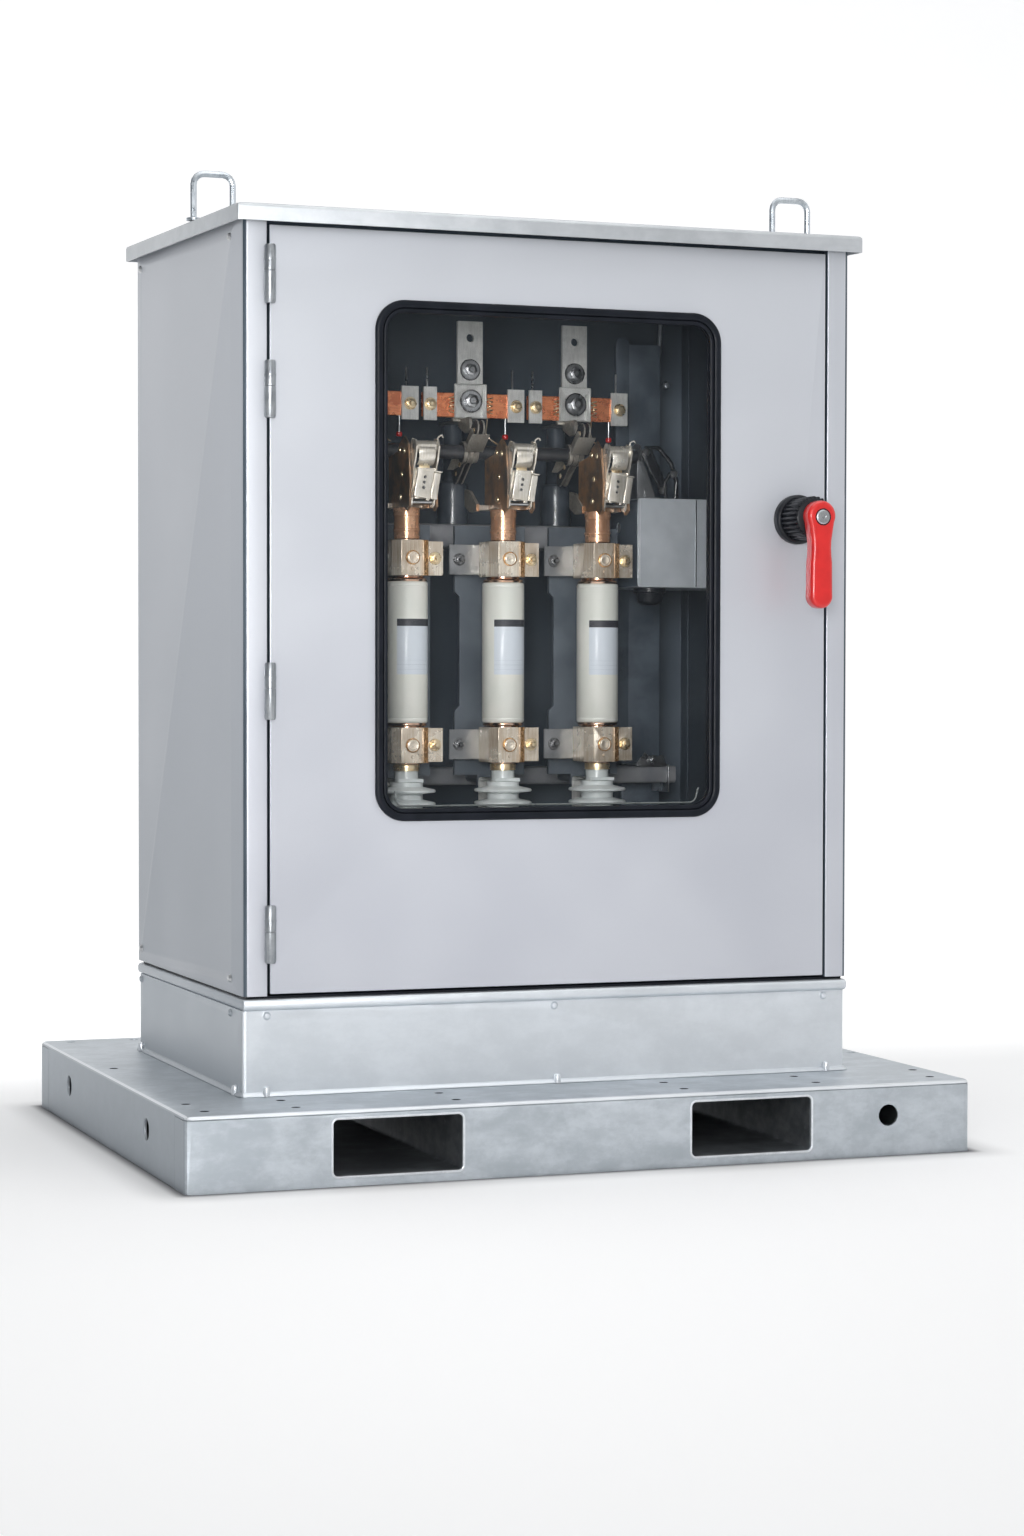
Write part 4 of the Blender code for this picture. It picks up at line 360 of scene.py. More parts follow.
GOLD_EDGE = metal_finish("clip_gold_edge", (0.82, 0.48, 0.2), (0.42, 0.22, 0.09), 0.25, (0.3, 1.0, 1.0),
                         0.006, metallic=0.6)
TUBE_COPPER = metal_finish("tube_copper", (0.76, 0.46, 0.29), (0.52, 0.27, 0.15), 0.24, UPRIGHT, 0.03,
                           metallic=0.6)
CAP_COPPER = metal_finish("cap_copper", (0.76, 0.56, 0.44), (0.5, 0.3, 0.19), 0.2, (1.0, 1.0, 0.5))
TINNED = metal_finish("tinned_bar", (0.72, 0.725, 0.7), (0.52, 0.525, 0.51), 0.32, metallic=0.3)
CLAMP_TIN = metal_finish("tinned_clamp", (0.8, 0.81, 0.78), (0.6, 0.605, 0.585), 0.32, (0.1, 1.0, 1.0),
                         metallic=0.3)
CLIP_BRASS = metal_finish("clip_plated_brass", (0.94, 0.88, 0.76), (0.56, 0.43, 0.3), 0.24, FINE_UPRIGHT,
                          0.045, 0.45, 0.6, (0.64, 0.38, 0.17))
GOLD_BOLT = metal_finish("gold_bolt", (0.96, 0.84, 0.6), (0.72, 0.52, 0.28), 0.28, metallic=0.85)
LATCH_PLATED = metal_finish("latch_plated", (0.96, 0.93, 0.85), (0.64, 0.58, 0.48), 0.22, FINE_UPRIGHT,
                            0.04, 0.35, 0.65)
BRONZE = metal_finish("dark_bronze", (0.46, 0.26, 0.14), (0.13, 0.112, 0.092), 0.32, ACROSS, 0.045, 0.85, 0.5)
KNIFE_STEEL = metal_finish("knife_dark", (0.44, 0.415, 0.365), (0.21, 0.195, 0.17), 0.32, ACROSS, 0.05, 0.5,
                           0.45)
DARK_BOLT = metal_finish("dark_bolt", (0.3, 0.3, 0.3), (0.09, 0.09, 0.092), 0.28)
RESIN = plastic_finish("pale_resin", (0.68, 0.715, 0.71), (0.58, 0.62, 0.615), 0.3, 0.3)
CERAMIC = ceramic_finish()
# Paler zinc, partly a painted highlight on the fork pocket rims and plinth lugs, and wholly a painted
# highlight on the mechanism box's edge line
RIM_ZINC_HIGHLIGHT = metal_finish("bright_zinc_rim_highlight", (0.8, 0.83, 0.86), (0.64, 0.67, 0.7), 0.34, metallic=0.5)
# A paler grey for the wall bead: a painted highlight along the back wall's fold
BEAD_HIGHLIGHT_GREY = sheet_finish("bead_highlight_grey", (0.3, 0.33, 0.36), (0.18, 0.2, 0.225), 0.34, 0.4)
# A pale finish for the window sill's line: a painted highlight
SILL_HIGHLIGHT = plastic_finish("sill_highlight_paint", (0.15, 0.168, 0.166), (0.11, 0.125, 0.124), 0.25, 0.3)
GLOSS_BLACK = plastic_finish("linkage_black", (0.014, 0.015, 0.018), (0.008, 0.009, 0.011), 0.14, 0.6, 0.6)


# Shapes

def whole(bm):
    """Doubles merged and every face turned outwards."""
    bmesh.ops.remove_doubles(bm, verts=bm.verts, dist=1e-6)
    bmesh.ops.recalc_face_normals(bm, faces=bm.faces)
    return bm


def moved(bm, matrix):
    """The whole shape put through a matrix."""
    bmesh.ops.transform(bm, matrix=matrix, verts=bm.verts)
    return bm


def corners_in(grown):
    """The vertices among what an operator made."""
    return [item for item in grown if isinstance(item, bmesh.types.BMVert)]


def rounded_edges(bm, width, segments=2, chosen=None):
    """Bevel the edges sharper than 30 degrees, or only the chosen ones among them."""
    sharp = math.radians(30.0)
    edges = [edge for edge in bm.edges if edge.is_manifold and edge.calc_face_angle(0.0) > sharp
             and (chosen is None or chosen(edge))]
    bmesh.ops.bevel(bm, geom=edges, offset=width, offset_type="OFFSET", affect="EDGES", segments=segments,
                    profile=0.5, material=-1, clamp_overlap=True)
    return bm


def block(low, high, edge=0.0, segments=2):
    """A rectangular piece between two corners."""
    bm = bmesh.new()
    bmesh.ops.create_cube(bm, size=1.0)
    low, high = Vector(low), Vector(high)
    bmesh.ops.scale(bm, vec=high - low, verts=bm.verts)
    bmesh.ops.translate(bm, vec=(low + high) / 2, verts=bm.verts)
    return rounded_edges(bm, edge, segments) if edge else bm


QUARTER = math.pi / 2
FACING = {"z": Matrix(), "x": Matrix.Rotation(QUARTER, 4, "Y"), "-x": Matrix.Rotation(-QUARTER, 4, "Y"),
          "-y": Matrix.Rotation(QUARTER, 4, "X")}


def turned(profile, place, axis="z", steps=48):
    """A profile of (radius, height) spun about an axis through a place; its heights run along the axis."""
    bm = bmesh.new()
    points = [bm.verts.new((radius, 0.0, height)) for radius, height in profile]
    line = [bm.edges.new(pair) for pair in zip(points, points[1:])]
    bmesh.ops.spin(bm, geom=points + line, cent=(0.0, 0.0, 0.0), axis=(0.0, 0.0, 1.0), angle=2 * math.pi,
                   steps=steps, use_merge=True)
    return moved(whole(bm), Matrix.Translation(place) @ FACING[axis])


def slab(outline, plane, low, high, edge, segments=2, chosen=None):
    """A flat outline in the plane "xz" or "yz", given a thickness by extruding it, with softened edges."""
    bm = bmesh.new()
    points = [(u, low, v) if plane == "xz" else (low, u, v) for u, v in outline]
    face = bm.faces.new([bm.verts.new(point) for point in points])
    grown = bmesh.ops.extrude_face_region(bm, geom=[face])["geom"]
    away = Vector((0.0, high - low, 0.0) if plane == "xz" else (high - low, 0.0, 0.0))
    bmesh.ops.translate(bm, vec=away, verts=corners_in(grown))
    return rounded_edges(whole(bm), edge, segments, chosen)


def grown_loop(bm, edges):
    """Extrude a loop of edges in place: its new corners by the place they grew from, and its new edges."""
    grown = bmesh.ops.extrude_edge_only(bm, edges=edges)["geom"]
    corners = {tuple(item.co): item for item in corners_in(grown)}
    fresh = set(corners.values())
    edges = [item for item in grown if isinstance(item, bmesh.types.BMEdge) and set(item.verts) <= fresh]
    return corners, edges


def loops_joined(loops):
    """A closed skin drawn from loop to loop and back to the first, each loop with as many points."""
    bm = bmesh.new()
    verts = [bm.verts.new(point) for point in loops[0]]
    edges = [bm.edges.new((verts[index - 1], verts[index])) for index in range(len(verts))]
    for points in loops[1:] + loops[:1]:
        corners, edges = grown_loop(bm, edges)
        verts = [corners[tuple(vert.co)] for vert in verts]
        for vert, point in zip(verts, points):
            vert.co = point
    return whole(bm)


def arc(center, radius, start, end, steps):
    """Points on an arc, both ends included, angles in degrees."""
    angles = [math.radians(start + (end - start) * step / steps) for step in range(steps + 1)]
    return [(center[0] + radius * math.cos(angle), center[1] + radius * math.sin(angle)) for angle in angles]


def rounded_box(middle, width, height, radius, steps=10):
    """A rectangle's outline with round corners, anticlockwise."""
    outline = []
    for corner, (side, level) in enumerate(((1, 1), (-1, 1), (-1, -1), (1, -1))):
        center = (middle[0] + side * (width / 2 - radius), middle[1] + level * (height / 2 - radius))
        outline += arc(center, radius, corner * 90.0, corner * 90.0 + 90.0, steps)
    return outline


def swept(points, radius, sides):
    """A round wire along a path: its ring is extruded from point to point."""
    points = [Vector(point) for point in points]
    bm = bmesh.new()
    ring = bmesh.ops.create_circle(bm, cap_ends=False, radius=radius, segments=sides)["verts"]
    edges = list({edge for vert in ring for edge in vert.link_edges})
    heading = (points[1] - points[0]).normalized()
    turn = Vector((0.0, 0.0, 1.0)).rotation_difference(heading).to_matrix().to_4x4()
    bmesh.ops.transform(bm, matrix=Matrix.Translation(points[0]) @ turn, verts=ring)
    first = list(edges)
    for index in range(1, len(points)):
        corners, edges = grown_loop(bm, edges)
        before = (points[index] - points[index - 1]).normalized()
        after = (points[min(index + 1, len(points) - 1)] - points[index]).normalized()
        next_heading = (before + (after if after.length else before)).normalized()
        bend = heading.rotation_difference(next_heading).to_matrix().to_4x4()
        move = Matrix.Translation(points[index]) @ bend @ Matrix.Translation(-points[index - 1])
        bmesh.ops.transform(bm, matrix=move, verts=list(corners.values()))
        heading = next_heading
    bmesh.ops.edgeloop_fill(bm, edges=first)
    bmesh.ops.edgeloop_fill(bm, edges=edges)
    return whole(bm)


def bent_wire(points, bend, radius, sides=12, steps=8):
    """A round wire along a path whose corners are rounded to a radius."""
    points = [Vector(point) for point in points]
    path = [points[0]]
    for before, corner, after in zip(points, points[1:], points[2:]):
        back, ahead = (before - corner).normalized(), (after - corner).normalized()
        half = back.angle(ahead) / 2
        reach = min(bend / math.tan(half), (before - corner).length * 0.49, (after - corner).length * 0.49)
        start, end = corner + back * reach, corner + ahead * reach
        for step in range(steps + 1):
            share = step / steps
            path.append(start * (1 - share) ** 2 + corner * 2 * share * (1 - share) + end * share ** 2)
    return swept(path + [points[-1]], radius, sides)


def hex_bolt(place, radius, height, washer, stud, washer_t=0.0018):
    """A bolt facing the front: a chamfered hexagon on a washer, with the end of its stud."""
    shapes = [turned([(0.0, 0.0), (washer, 0.0), (washer, washer_t * 0.7), (washer - 0.0006, washer_t),
                      (0.0, washer_t)], place, "-y", 32)]
    bm = bmesh.new()
    bmesh.ops.create_cone(bm, cap_ends=True, segments=6, radius1=radius, radius2=radius, depth=height)
    bmesh.ops.rotate(bm, cent=(0.0, 0.0, 0.0), matrix=Matrix.Rotation(0.35, 3, "Z"), verts=bm.verts)
    bmesh.ops.translate(bm, vec=(0.0, 0.0, washer_t + height / 2), verts=bm.verts)
    shapes.append(moved(rounded_edges(bm, radius * 0.09, 2), Matrix.Translation(place) @ FACING["-y"]))
    top = washer_t + height + stud
    shapes.append(turned([(0.0, washer_t), (radius * 0.52, washer_t), (radius * 0.52, top - 0.001),
                          (radius * 0.42, top), (0.0, top)], place, "-y", 20))
    return together(shapes)


def together(shapes):
    """Several shapes in one bmesh, each keeping its own material numbers."""
    joined = bmesh.new()
    for shape in shapes:
        mesh = bpy.data.meshes.new("part")
        shape.to_mesh(mesh)
        shape.free()
        joined.from_mesh(mesh)
        bpy.data.meshes.remove(mesh)
    return joined


def second(shape):
    """The shape with every face in the second finish of its piece."""
    for face in shape.faces:
        face.material_index = 1
    return shape


def smooth_object(name, bm):
    """An object in the scene from a bmesh whose faces are all smooth."""
    mesh = bpy.data.meshes.new(name)
    for face in bm.faces:
        face.smooth = True
    bm.to_mesh(mesh)
    bm.free()
    made = bpy.data.objects.new(name, mesh)
    bpy.context.scene.collection.objects.link(made)
    return made


def piece(name, shapes, finishes, body="cabinet", stands_for=(), sharp=34.0):
    """Join shapes into one piece that moves with a body; finishes are its materials by number."""
    made = smooth_object(name, together(shapes) if isinstance(shapes, list) else shapes)
    made.data.set_sharp_from_angle(angle=math.radians(sharp))
    for finish in finishes if isinstance(finishes, list) else [finishes]:
        made.data.materials.append(finish)
    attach(made, body)
    if stands_for:
        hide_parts(*stands_for)
    return made


def dressed(node, finishes, edge=0.0006, regions=(), segments=2, dropped=None, joined=True):
    """A copy of a CAD node with merged corners, softened edges and its finishes by region.

    Each region is a test on a face's middle and normal; the first that fits picks the finish after the
    main one. Faces that fit the dropped test are left out, and joined merges flat neighbours.
    """
    bm = bmesh.new()
    bm.from_mesh(frame["nodes"][node].data)
    bmesh.ops.remove_doubles(bm, verts=bm.verts, dist=2e-6)
    if joined:
        bmesh.ops.dissolve_limit(bm, angle_limit=math.radians(0.4), verts=bm.verts, edges=bm.edges)
    if dropped:
        gone = [face for face in bm.faces if dropped(face.calc_center_median(), face.normal)]
        bmesh.ops.delete(bm, geom=gone, context="FACES")
    for face in bm.faces:
        middle = face.calc_center_median()
        fits = [number for number, test in enumerate(regions, 1) if test(middle, face.normal)]
        face.material_index = fits[0] if fits else 0
    made = piece(node + "_dressed", bm, finishes, BODY_OF[node], (node,))
    if edge:
        softening = made.modifiers.new("edges", "BEVEL")
        softening.width = edge
        softening.segments = segments
        softening.limit_method = "ANGLE"
        softening.angle_limit = math.radians(38.0)
        softening.harden_normals = False
        softening.use_clamp_overlap = True
    return made


# Base, plinth and cabinet

def hinge_area(middle, normal):
    """The knuckles and their roots, in front of the stile and the door."""
    return middle.y < DOOR_Y - 0.0003 and abs(middle.x - HINGE_X) < 0.012


def screw_area(middle, normal):
    """The screw heads that stand proud of the side panels."""
    return abs(middle.x) > CABINET_SIDE + 0.0005


def dress_shell():
    """The base, the plinth and the cabinet's sheets keep their CAD shape with softened folds."""
    for node in ("base_deck", "base_front_rail", "base_rear_rail"):
        dressed(node, ZINC_BASE, 0.0012, segments=3)
    for side in ("left", "right"):
        dressed("fork_tube_" + side, FORK_STEEL, 0.0008)
        dressed("lifting_eye_" + side, EYE_STEEL, 0.0003)
    dressed("plinth_frame", ZINC_PLINTH, 0.0015, segments=3)
    dressed("plinth_cap_frame", ZINC_PLINTH, 0.0012, segments=3)
    dressed("plinth_seal", RUBBER, 0.0004, joined=False)
    dressed("cabinet_left_panel", [SILVER, HINGE_STEEL, PLATED], 0.0008, [hinge_area, screw_area])
    dressed("cabinet_right_panel", [SILVER, PLATED], 0.0008, [screw_area])
    dressed("cabinet_back_panel", SILVER)
    dressed("cabinet_floor", RAIL_PAINT)
    dressed("gland_plate", ZINC_PLINTH)
    dressed("door_frame", SILVER, joined=False)
    dressed("roof", ROOF_STEEL, 0.0015, segments=3)
    dressed("door_panel", [SILVER, HINGE_STEEL], 0.0012, [hinge_area], segments=3)
    dressed("door_seal", RUBBER, joined=False)


def base_details():
    """Turned-over rims on the fork pockets and lugs at the plinth's foot in a paler zinc that partly paints
    their highlight, and dark cups in the deck's holes as painted shade.
    """
    for side, x in (("left", -0.2955), ("right", 0.2435)):
        rings = []
        for grown, depth in ((-0.0005, 0.0006), (0.0, -0.0006), (0.0012, -0.0012), (0.0026, -0.0008),
                             (0.0032, 0.0004)):
            outline = rounded_box((x, 0.0539), 0.190 + 2 * grown, 0.079 + 2 * grown, 0.007 + grown, 8)
            rings.append([(px, BASE_FRONT + depth, pz) for px, pz in outline])
        piece("fork_pocket_rim_" + side, [loops_joined(rings)], RIM_ZINC_HIGHLIGHT)
    front = BASE_FRONT + 0.0505
    holes = [(x, front + shift) for x in (-0.430, -0.194, 0.157, 0.369) for shift in (-0.002, 0.073)]
    holes += [(-0.560, front), (-0.566, front + 0.080), (-0.569, 0.082), (0.559, front),
              (0.573, front + 0.082)]
    # Dark cups in the deck's holes: painted shade inside the holes
    cup = [(0.0, 0.0), (0.0069, 0.0), (0.0069, 0.002), (0.006, 0.002), (0.006, 0.0006), (0.0, 0.0006)]
    piece("deck_hole_shade_cups", [turned(cup, (x, y, HOLE_SHADE_Z), "z", 24) for x, y in holes], BLACK)
    lug = [(0.0, 0.0), (0.0052, 0.0), (0.0052, 0.01), (0.0044, 0.0126), (0.0026, 0.014), (0.0, 0.0144)]
    places = [(-0.4392, -0.311), (0.0042, -0.311), (0.4421, -0.311), (-0.477, -0.2795), (-0.477, 0.2868)]
    piece("plinth_foot_lugs", [turned(lug, (x, y, LUG_Z), "z", 24) for x, y in places], RIM_ZINC_HIGHLIGHT)


def hinge_rings():
    """Thin grooved collars and pin ends on the four hinges."""
    place = (HINGE_X, HINGE_Y, 0.0)
    for number, (low, high) in enumerate(HINGE_SPANS, 1):
        split = low + 0.55 * (high - low)
        upper = turned([(0.0076, split + 0.0008), (0.0081, split + 0.001), (0.0081, high - 0.002),
                        (0.0068, high + 0.0006), (0.0, high + 0.0008)], place, "z", 32)
        neck = turned([(0.0076, high - 0.0225), (0.0085, high - 0.022), (0.0085, high - 0.019),
                       (0.0076, high - 0.0185)], place, "z", 32)
        piece("hinge_sleeve_upper_%d" % number, [upper, neck], HINGE_STEEL)
        lower = turned([(0.0, low - 0.0008), (0.0068, low - 0.0006), (0.0081, low + 0.002),
                        (0.0081, split - 0.001), (0.0076, split - 0.0008)], place, "z", 32)
        piece("hinge_sleeve_lower_%d" % number, [lower], HINGE_STEEL, "door")


def window_surround():
    """The rubber gasket: a crowned outer band, a groove and a lower inner lip; and the sill's pale line, a
    painted highlight.
    """
    def band(*steps):
        loops = []
        for inset, depth in steps:
            outline = rounded_box((-0.0085, 0.8707), 0.5396 - 2 * inset, 0.748 - 2 * inset, 0.044 - inset, 14)
            loops.append([(x, DOOR_Y + depth, z) for x, z in outline])
        return loops_joined(loops)

    outer = band((0.0, -0.0003), (0.0, -0.0035), (0.0006, -0.005), (0.002, -0.006), (0.005, -0.0066),
                 (0.0085, -0.0064), (0.0105, -0.0052), (0.0112, -0.0034), (0.0112, -0.0003))
    inner = band((0.012, 0.0003), (0.012, -0.0034), (0.0128, -0.0046), (0.0145, -0.0052),
                 (0.0165, -0.005), (0.0178, -0.004), (0.018, -0.002), (0.018, 0.0003))
    seat = band((0.0073, -0.0012), (0.0125, -0.0012), (0.0125, 0.0068), (0.0073, 0.0068))
    lip = band((0.008, 0.0049), (0.018, 0.0049), (0.018, 0.008), (0.008, 0.008))
    clip = band((0.001, 0.0018), (0.009, 0.0018), (0.009, 0.0075), (0.001, 0.0075))
    # A pale wire along the sill: a painted highlight where the window's lower inner edge catches the light
    sill_y = -0.301
    sill = bent_wire([(-0.244, sill_y, 0.54), (-0.242, sill_y, 0.5178), (0.228, sill_y, 0.5178),
                      (0.233, sill_y, 0.54)], 0.02, 0.0014, 10)
    piece("window_sill_highlight", [sill], SILL_HIGHLIGHT, "door")
    piece("window_surround", [outer, inner, seat, lip, clip], RUBBER, "door", ["window_gasket"])
    glass = frame["nodes"]["window_glass"].data.materials
    glass.clear()
    glass.append(CLEAR)


# Handle

def ribbed(outer, inner, ribs):
    """The outline of a knob with rounded ribs about the handle's axis."""
    outline = []
    for step in range(ribs * 6):
        angle = 2 * math.pi * step / (ribs * 6)
        wave = 0.5 + 0.5 * math.cos(angle * ribs)
        radius = inner + (outer - inner) * min(1.0, wave * 1.6)
        outline.append((HANDLE_X + radius * math.cos(angle), HANDLE_Z + radius * math.sin(angle)))
    return outline[::-1]


def rotary_handle():
    """The black boss and ribbed knob, the red lever with rounded edges, and its steel hub screw."""
    def about_axis(profile, y, steps):
        return turned(profile, (HANDLE_X, y, HANDLE_Z), "-y", steps)

    def flat(edge):
        return abs(edge.verts[0].co.y - edge.verts[1].co.y) < 0.0001

    back = DOOR_Y - 0.0003
    boss = about_axis([(0.008, 0.0), (0.037, 0.0), (0.037, 0.0095), (0.0362, 0.012), (0.034, 0.0138),
                       (0.0325, 0.014), (0.0322, 0.0132), (0.0318, 0.014), (0.008, 0.014)], back, 96)
    piece("handle_boss_moulding", [boss], BLACK, "door", ["handle_boss"])
    foot = back - 0.0143
    knob = slab(ribbed(0.0322, 0.029, 28), "xz", foot - 0.05, foot, 0.0009, 2, flat)
    collar = about_axis([(0.0, 0.05), (0.0288, 0.05), (0.0288, 0.0508), (0.027, 0.052), (0.0, 0.052)],
                        foot, 64)
    piece("handle_knob_ribbed", [knob, collar], BLACK, "handle", ["handle_knob"])
    lever_back = foot - 0.0523
    front = lever_back - 0.026
    half = arc((0.0, 0.002), 0.0225, 90.0, -25.0, 14)
    half += [(0.0172, -0.027), (0.016, -0.036), (0.0156, -0.046), (0.0162, -0.057), (0.0173, -0.067)]
    half += arc((0.0, -0.117), 0.018, 6.0, -90.0, 14)
    outline = half + [(-u, v) for u, v in half[::-1]][1:-1]
    outline = [(HANDLE_X + u, HANDLE_Z + v) for u, v in outline[::-1]]
    lever = slab(outline, "xz", front, lever_back, 0.0062, 5, flat)
    piece("handle_lever_moulding", [lever], RED, "handle", ["handle_lever"], 50.0)
    screw = about_axis([(0.0, 0.0), (0.0105, 0.0), (0.0105, 0.0008), (0.0095, 0.0016), (0.007, 0.002),
                        (0.0052, 0.002), (0.0048, 0.0008), (0.0, 0.0008)], front, 40)
    ring = about_axis([(0.0112, -0.0002), (0.0125, 0.0004), (0.0125, 0.0009), (0.0108, 0.0004)], front, 40)
    piece("handle_hub_screw", [screw], EYE_STEEL, "handle")
    piece("handle_hub_collar", [ring], BLACK, "handle")


# Steelwork and insulating parts inside

def dress_steelwork():
    """The painted uprights and rails, with a dark post behind each line bar."""
    for side in ("left", "right"):
        dressed("upright_" + side, DARK_PAINT, 0.0008)
    dressed("lower_rail", RAIL_PAINT, 0.0008)
    dressed("insulator_shelf", RAIL_PAINT, 0.0012)

    def post_area(middle, normal):
        near = any(abs(middle.x - x) < 0.0265 for x in LINE_X.values())
        return near and 0.9478 < middle.z < 1.1054 and abs(middle.y - POST_Y) < 0.0265

    def angle_piece(middle, normal):
        return middle.z > 1.1

    dressed("upper_rail", [RAIL_PAINT, POST_DARK, BRACKET_GREY], 0.0008, [post_area, angle_piece])
    for phase, x in LINE_X.items():
        post = turned([(0.0, 1.1053), (0.0145, 1.1053), (0.015, 1.1035), (0.016, 1.018), (0.0175, 1.015),
                       (0.0228, 1.013), (0.0236, 1.01), (0.024, 0.998), (0.0252, 0.956), (0.0252, 0.9478),
                       (0.0, 0.9478)], (x, POST_Y, 0.0), "z", 40)
        piece("dark_post_" + phase, [post], POST_DARK)


def dress_boards():
    """Insulating boards behind the fuses, with their spring clips, brackets and bolts."""
    for phase, x in FUSE_X.items():
        def clip(middle, normal):
            return middle.y < -0.0175 and -0.0305 < middle.x - x < 0.06

        def bracket(middle, normal):
            return middle.y < 0.0098

        def clip_bolt(middle, normal):
            return middle.y < -0.0541 and middle.x - x > 0.035

        def gold_edge(middle, normal):
            return middle.y < -0.06 and normal.x > 0.3 and normal.y < -0.3

        dressed("back_board_" + phase, [BOARD_GREY, GOLD_EDGE, GOLD_BOLT, CLIP_BRASS, BRACKET_GREY], 0.0005,
                [gold_edge, clip_bolt, clip, bracket])
        for level, low in (("lower", 0.5735), ("upper", 0.859)):
            middle = low + 0.027
            front = FUSE_Y - 0.0295
            center = (x, front, middle)
            disc = turned([(0.0, 0.003), (0.0048, 0.003), (0.0056, 0.0034), (0.0066, 0.0034), (0.0076, 0.003),
                           (0.0088, 0.0034), (0.01, 0.0032), (0.0106, 0.001), (0.0106, -0.0004),
                           (0.0, -0.0004)], center, "-y", 40)
            dot = turned([(0.0, 0.0022), (0.002, 0.002), (0.0026, 0.0), (0.0, 0.0)],
                         (x, front, middle - 0.0175), "-y", 20)
            ring = turned([(0.0086, 0.0026), (0.0096, 0.004), (0.0108, 0.0034), (0.0112, 0.001)],
                          center, "-y", 40)
            strips = [block((x + left, front - 0.0006, low + 0.001),
                            (x + right, front + 0.001, low + 0.053), 0.0003)
                      for left, right in ((0.0165, 0.0182), (-0.0185, -0.0172))]
            name = "_%s_%s" % (level, phase)
            piece("clip_stamping" + name, [disc, dot] + strips + [second(ring)], [CLIP_BRASS, GOLD_EDGE])
            bolt = hex_bolt((x + 0.0445, -0.054, middle), 0.007, 0.006, 0.0098, 0.0045)
            piece("clip_lug_bolt" + name, [bolt], GOLD_BOLT)
            bolt = hex_bolt((x - 0.062, -0.022, middle), 0.0064, 0.005, 0.0096, 0.006)
            piece("bracket_bolt" + name, [bolt], DARK_BOLT)


def fuses():
    """Ceramic fuses with copper end caps, a plain pale label and its dark band."""
    low, high = FUSE_LOW, FUSE_HIGH
    for phase, x in FUSE_X.items():
        place = (x, FUSE_Y, 0.0)
        body = turned([(0.03, low), (0.0312, low + 0.0006), (0.0324, low + 0.0025), (0.0325, low + 0.006),
                       (0.0321, low + 0.0066), (0.0321, low + 0.0076), (0.0325, low + 0.0082),
                       (0.0325, high - 0.0082), (0.0321, high - 0.0076), (0.0321, high - 0.0066),
                       (0.0325, high - 0.006), (0.0324, high - 0.0025), (0.0312, high - 0.0006),
                       (0.03, high)], place, "z", 64)
        lower = turned([(0.0, 0.5713), (0.0235, 0.5713), (0.025, 0.5728), (0.025, 0.629), (0.028, 0.6296),
                        (0.0306, 0.6303), (0.031, 0.6312), (0.031, 0.6332), (0.0304, low), (0.0, low)],
                       place, "z", 64)
        upper = turned([(0.0, high), (0.0304, high), (0.0308, 0.8508), (0.031, 0.853), (0.03, 0.8545),
                        (0.0262, 0.8552), (0.0256, 0.856), (0.027, 0.8566), (0.027, 0.8578), (0.025, 0.8584),
                        (0.025, 0.9135), (0.0, 0.914)], place, "z", 64)
        piece("fuse_body_" + phase, [body, second(lower), second(upper)], [CERAMIC, CAP_COPPER],
              stands_for=["fuse_" + phase])


def post_insulators():
    """Pale ribbed post insulators with their gold studs and the tinned bars to the cable terminals."""
    profile = [(0.0, 0.5445), (0.0225, 0.5445), (0.025, 0.5432)]
    for shed in range(5):
        rim = 0.53 - shed * 0.0195
        profile += [(0.025, rim + 0.0072), (0.0262, rim + 0.0062), (0.043, rim + 0.0026),
                    (0.0445, rim + 0.0012), (0.0447, rim - 0.0004), (0.044, rim - 0.0018),
                    (0.0265, rim - 0.004), (0.025, rim - 0.0052)]
    profile += [(0.025, 0.4), (0.029, 0.3965), (0.0312, 0.394), (0.0312, 0.3843), (0.0, 0.3843)]
    for phase, x in FUSE_X.items():
        place = (x, FUSE_Y, 0.0)
        post = turned(profile, place, "z", 64)
        neck = turned([(0.0, 0.5615), (0.0165, 0.5615), (0.0178, 0.56), (0.0178, 0.55), (0.0185, 0.544),
                       (0.0, 0.544)], place, "z", 48)
        stud = turned([(0.0, 0.571), (0.019, 0.571), (0.02, 0.57), (0.02, 0.565), (0.0192, 0.5642),
                       (0.0192, 0.5632), (0.02, 0.5624), (0.02, 0.5612), (0.0, 0.5612)], place, "z", 48)

        def bar(middle, normal):
            return middle.y > -0.004

        def plain_post(middle, normal):
            near = (middle - Vector((x, FUSE_Y, middle.z))).length < 0.0452
            return near and (middle.z > 0.5503 or middle.z < 0.544)

        dressed("fuse_foot_" + phase, [RESIN, TINNED], 0.0, [bar], dropped=plain_post)
        piece("post_insulator_" + phase, [post, neck, second(stud)], [RESIN, GOLD_BOLT])


# Line bars, contact bars and knives

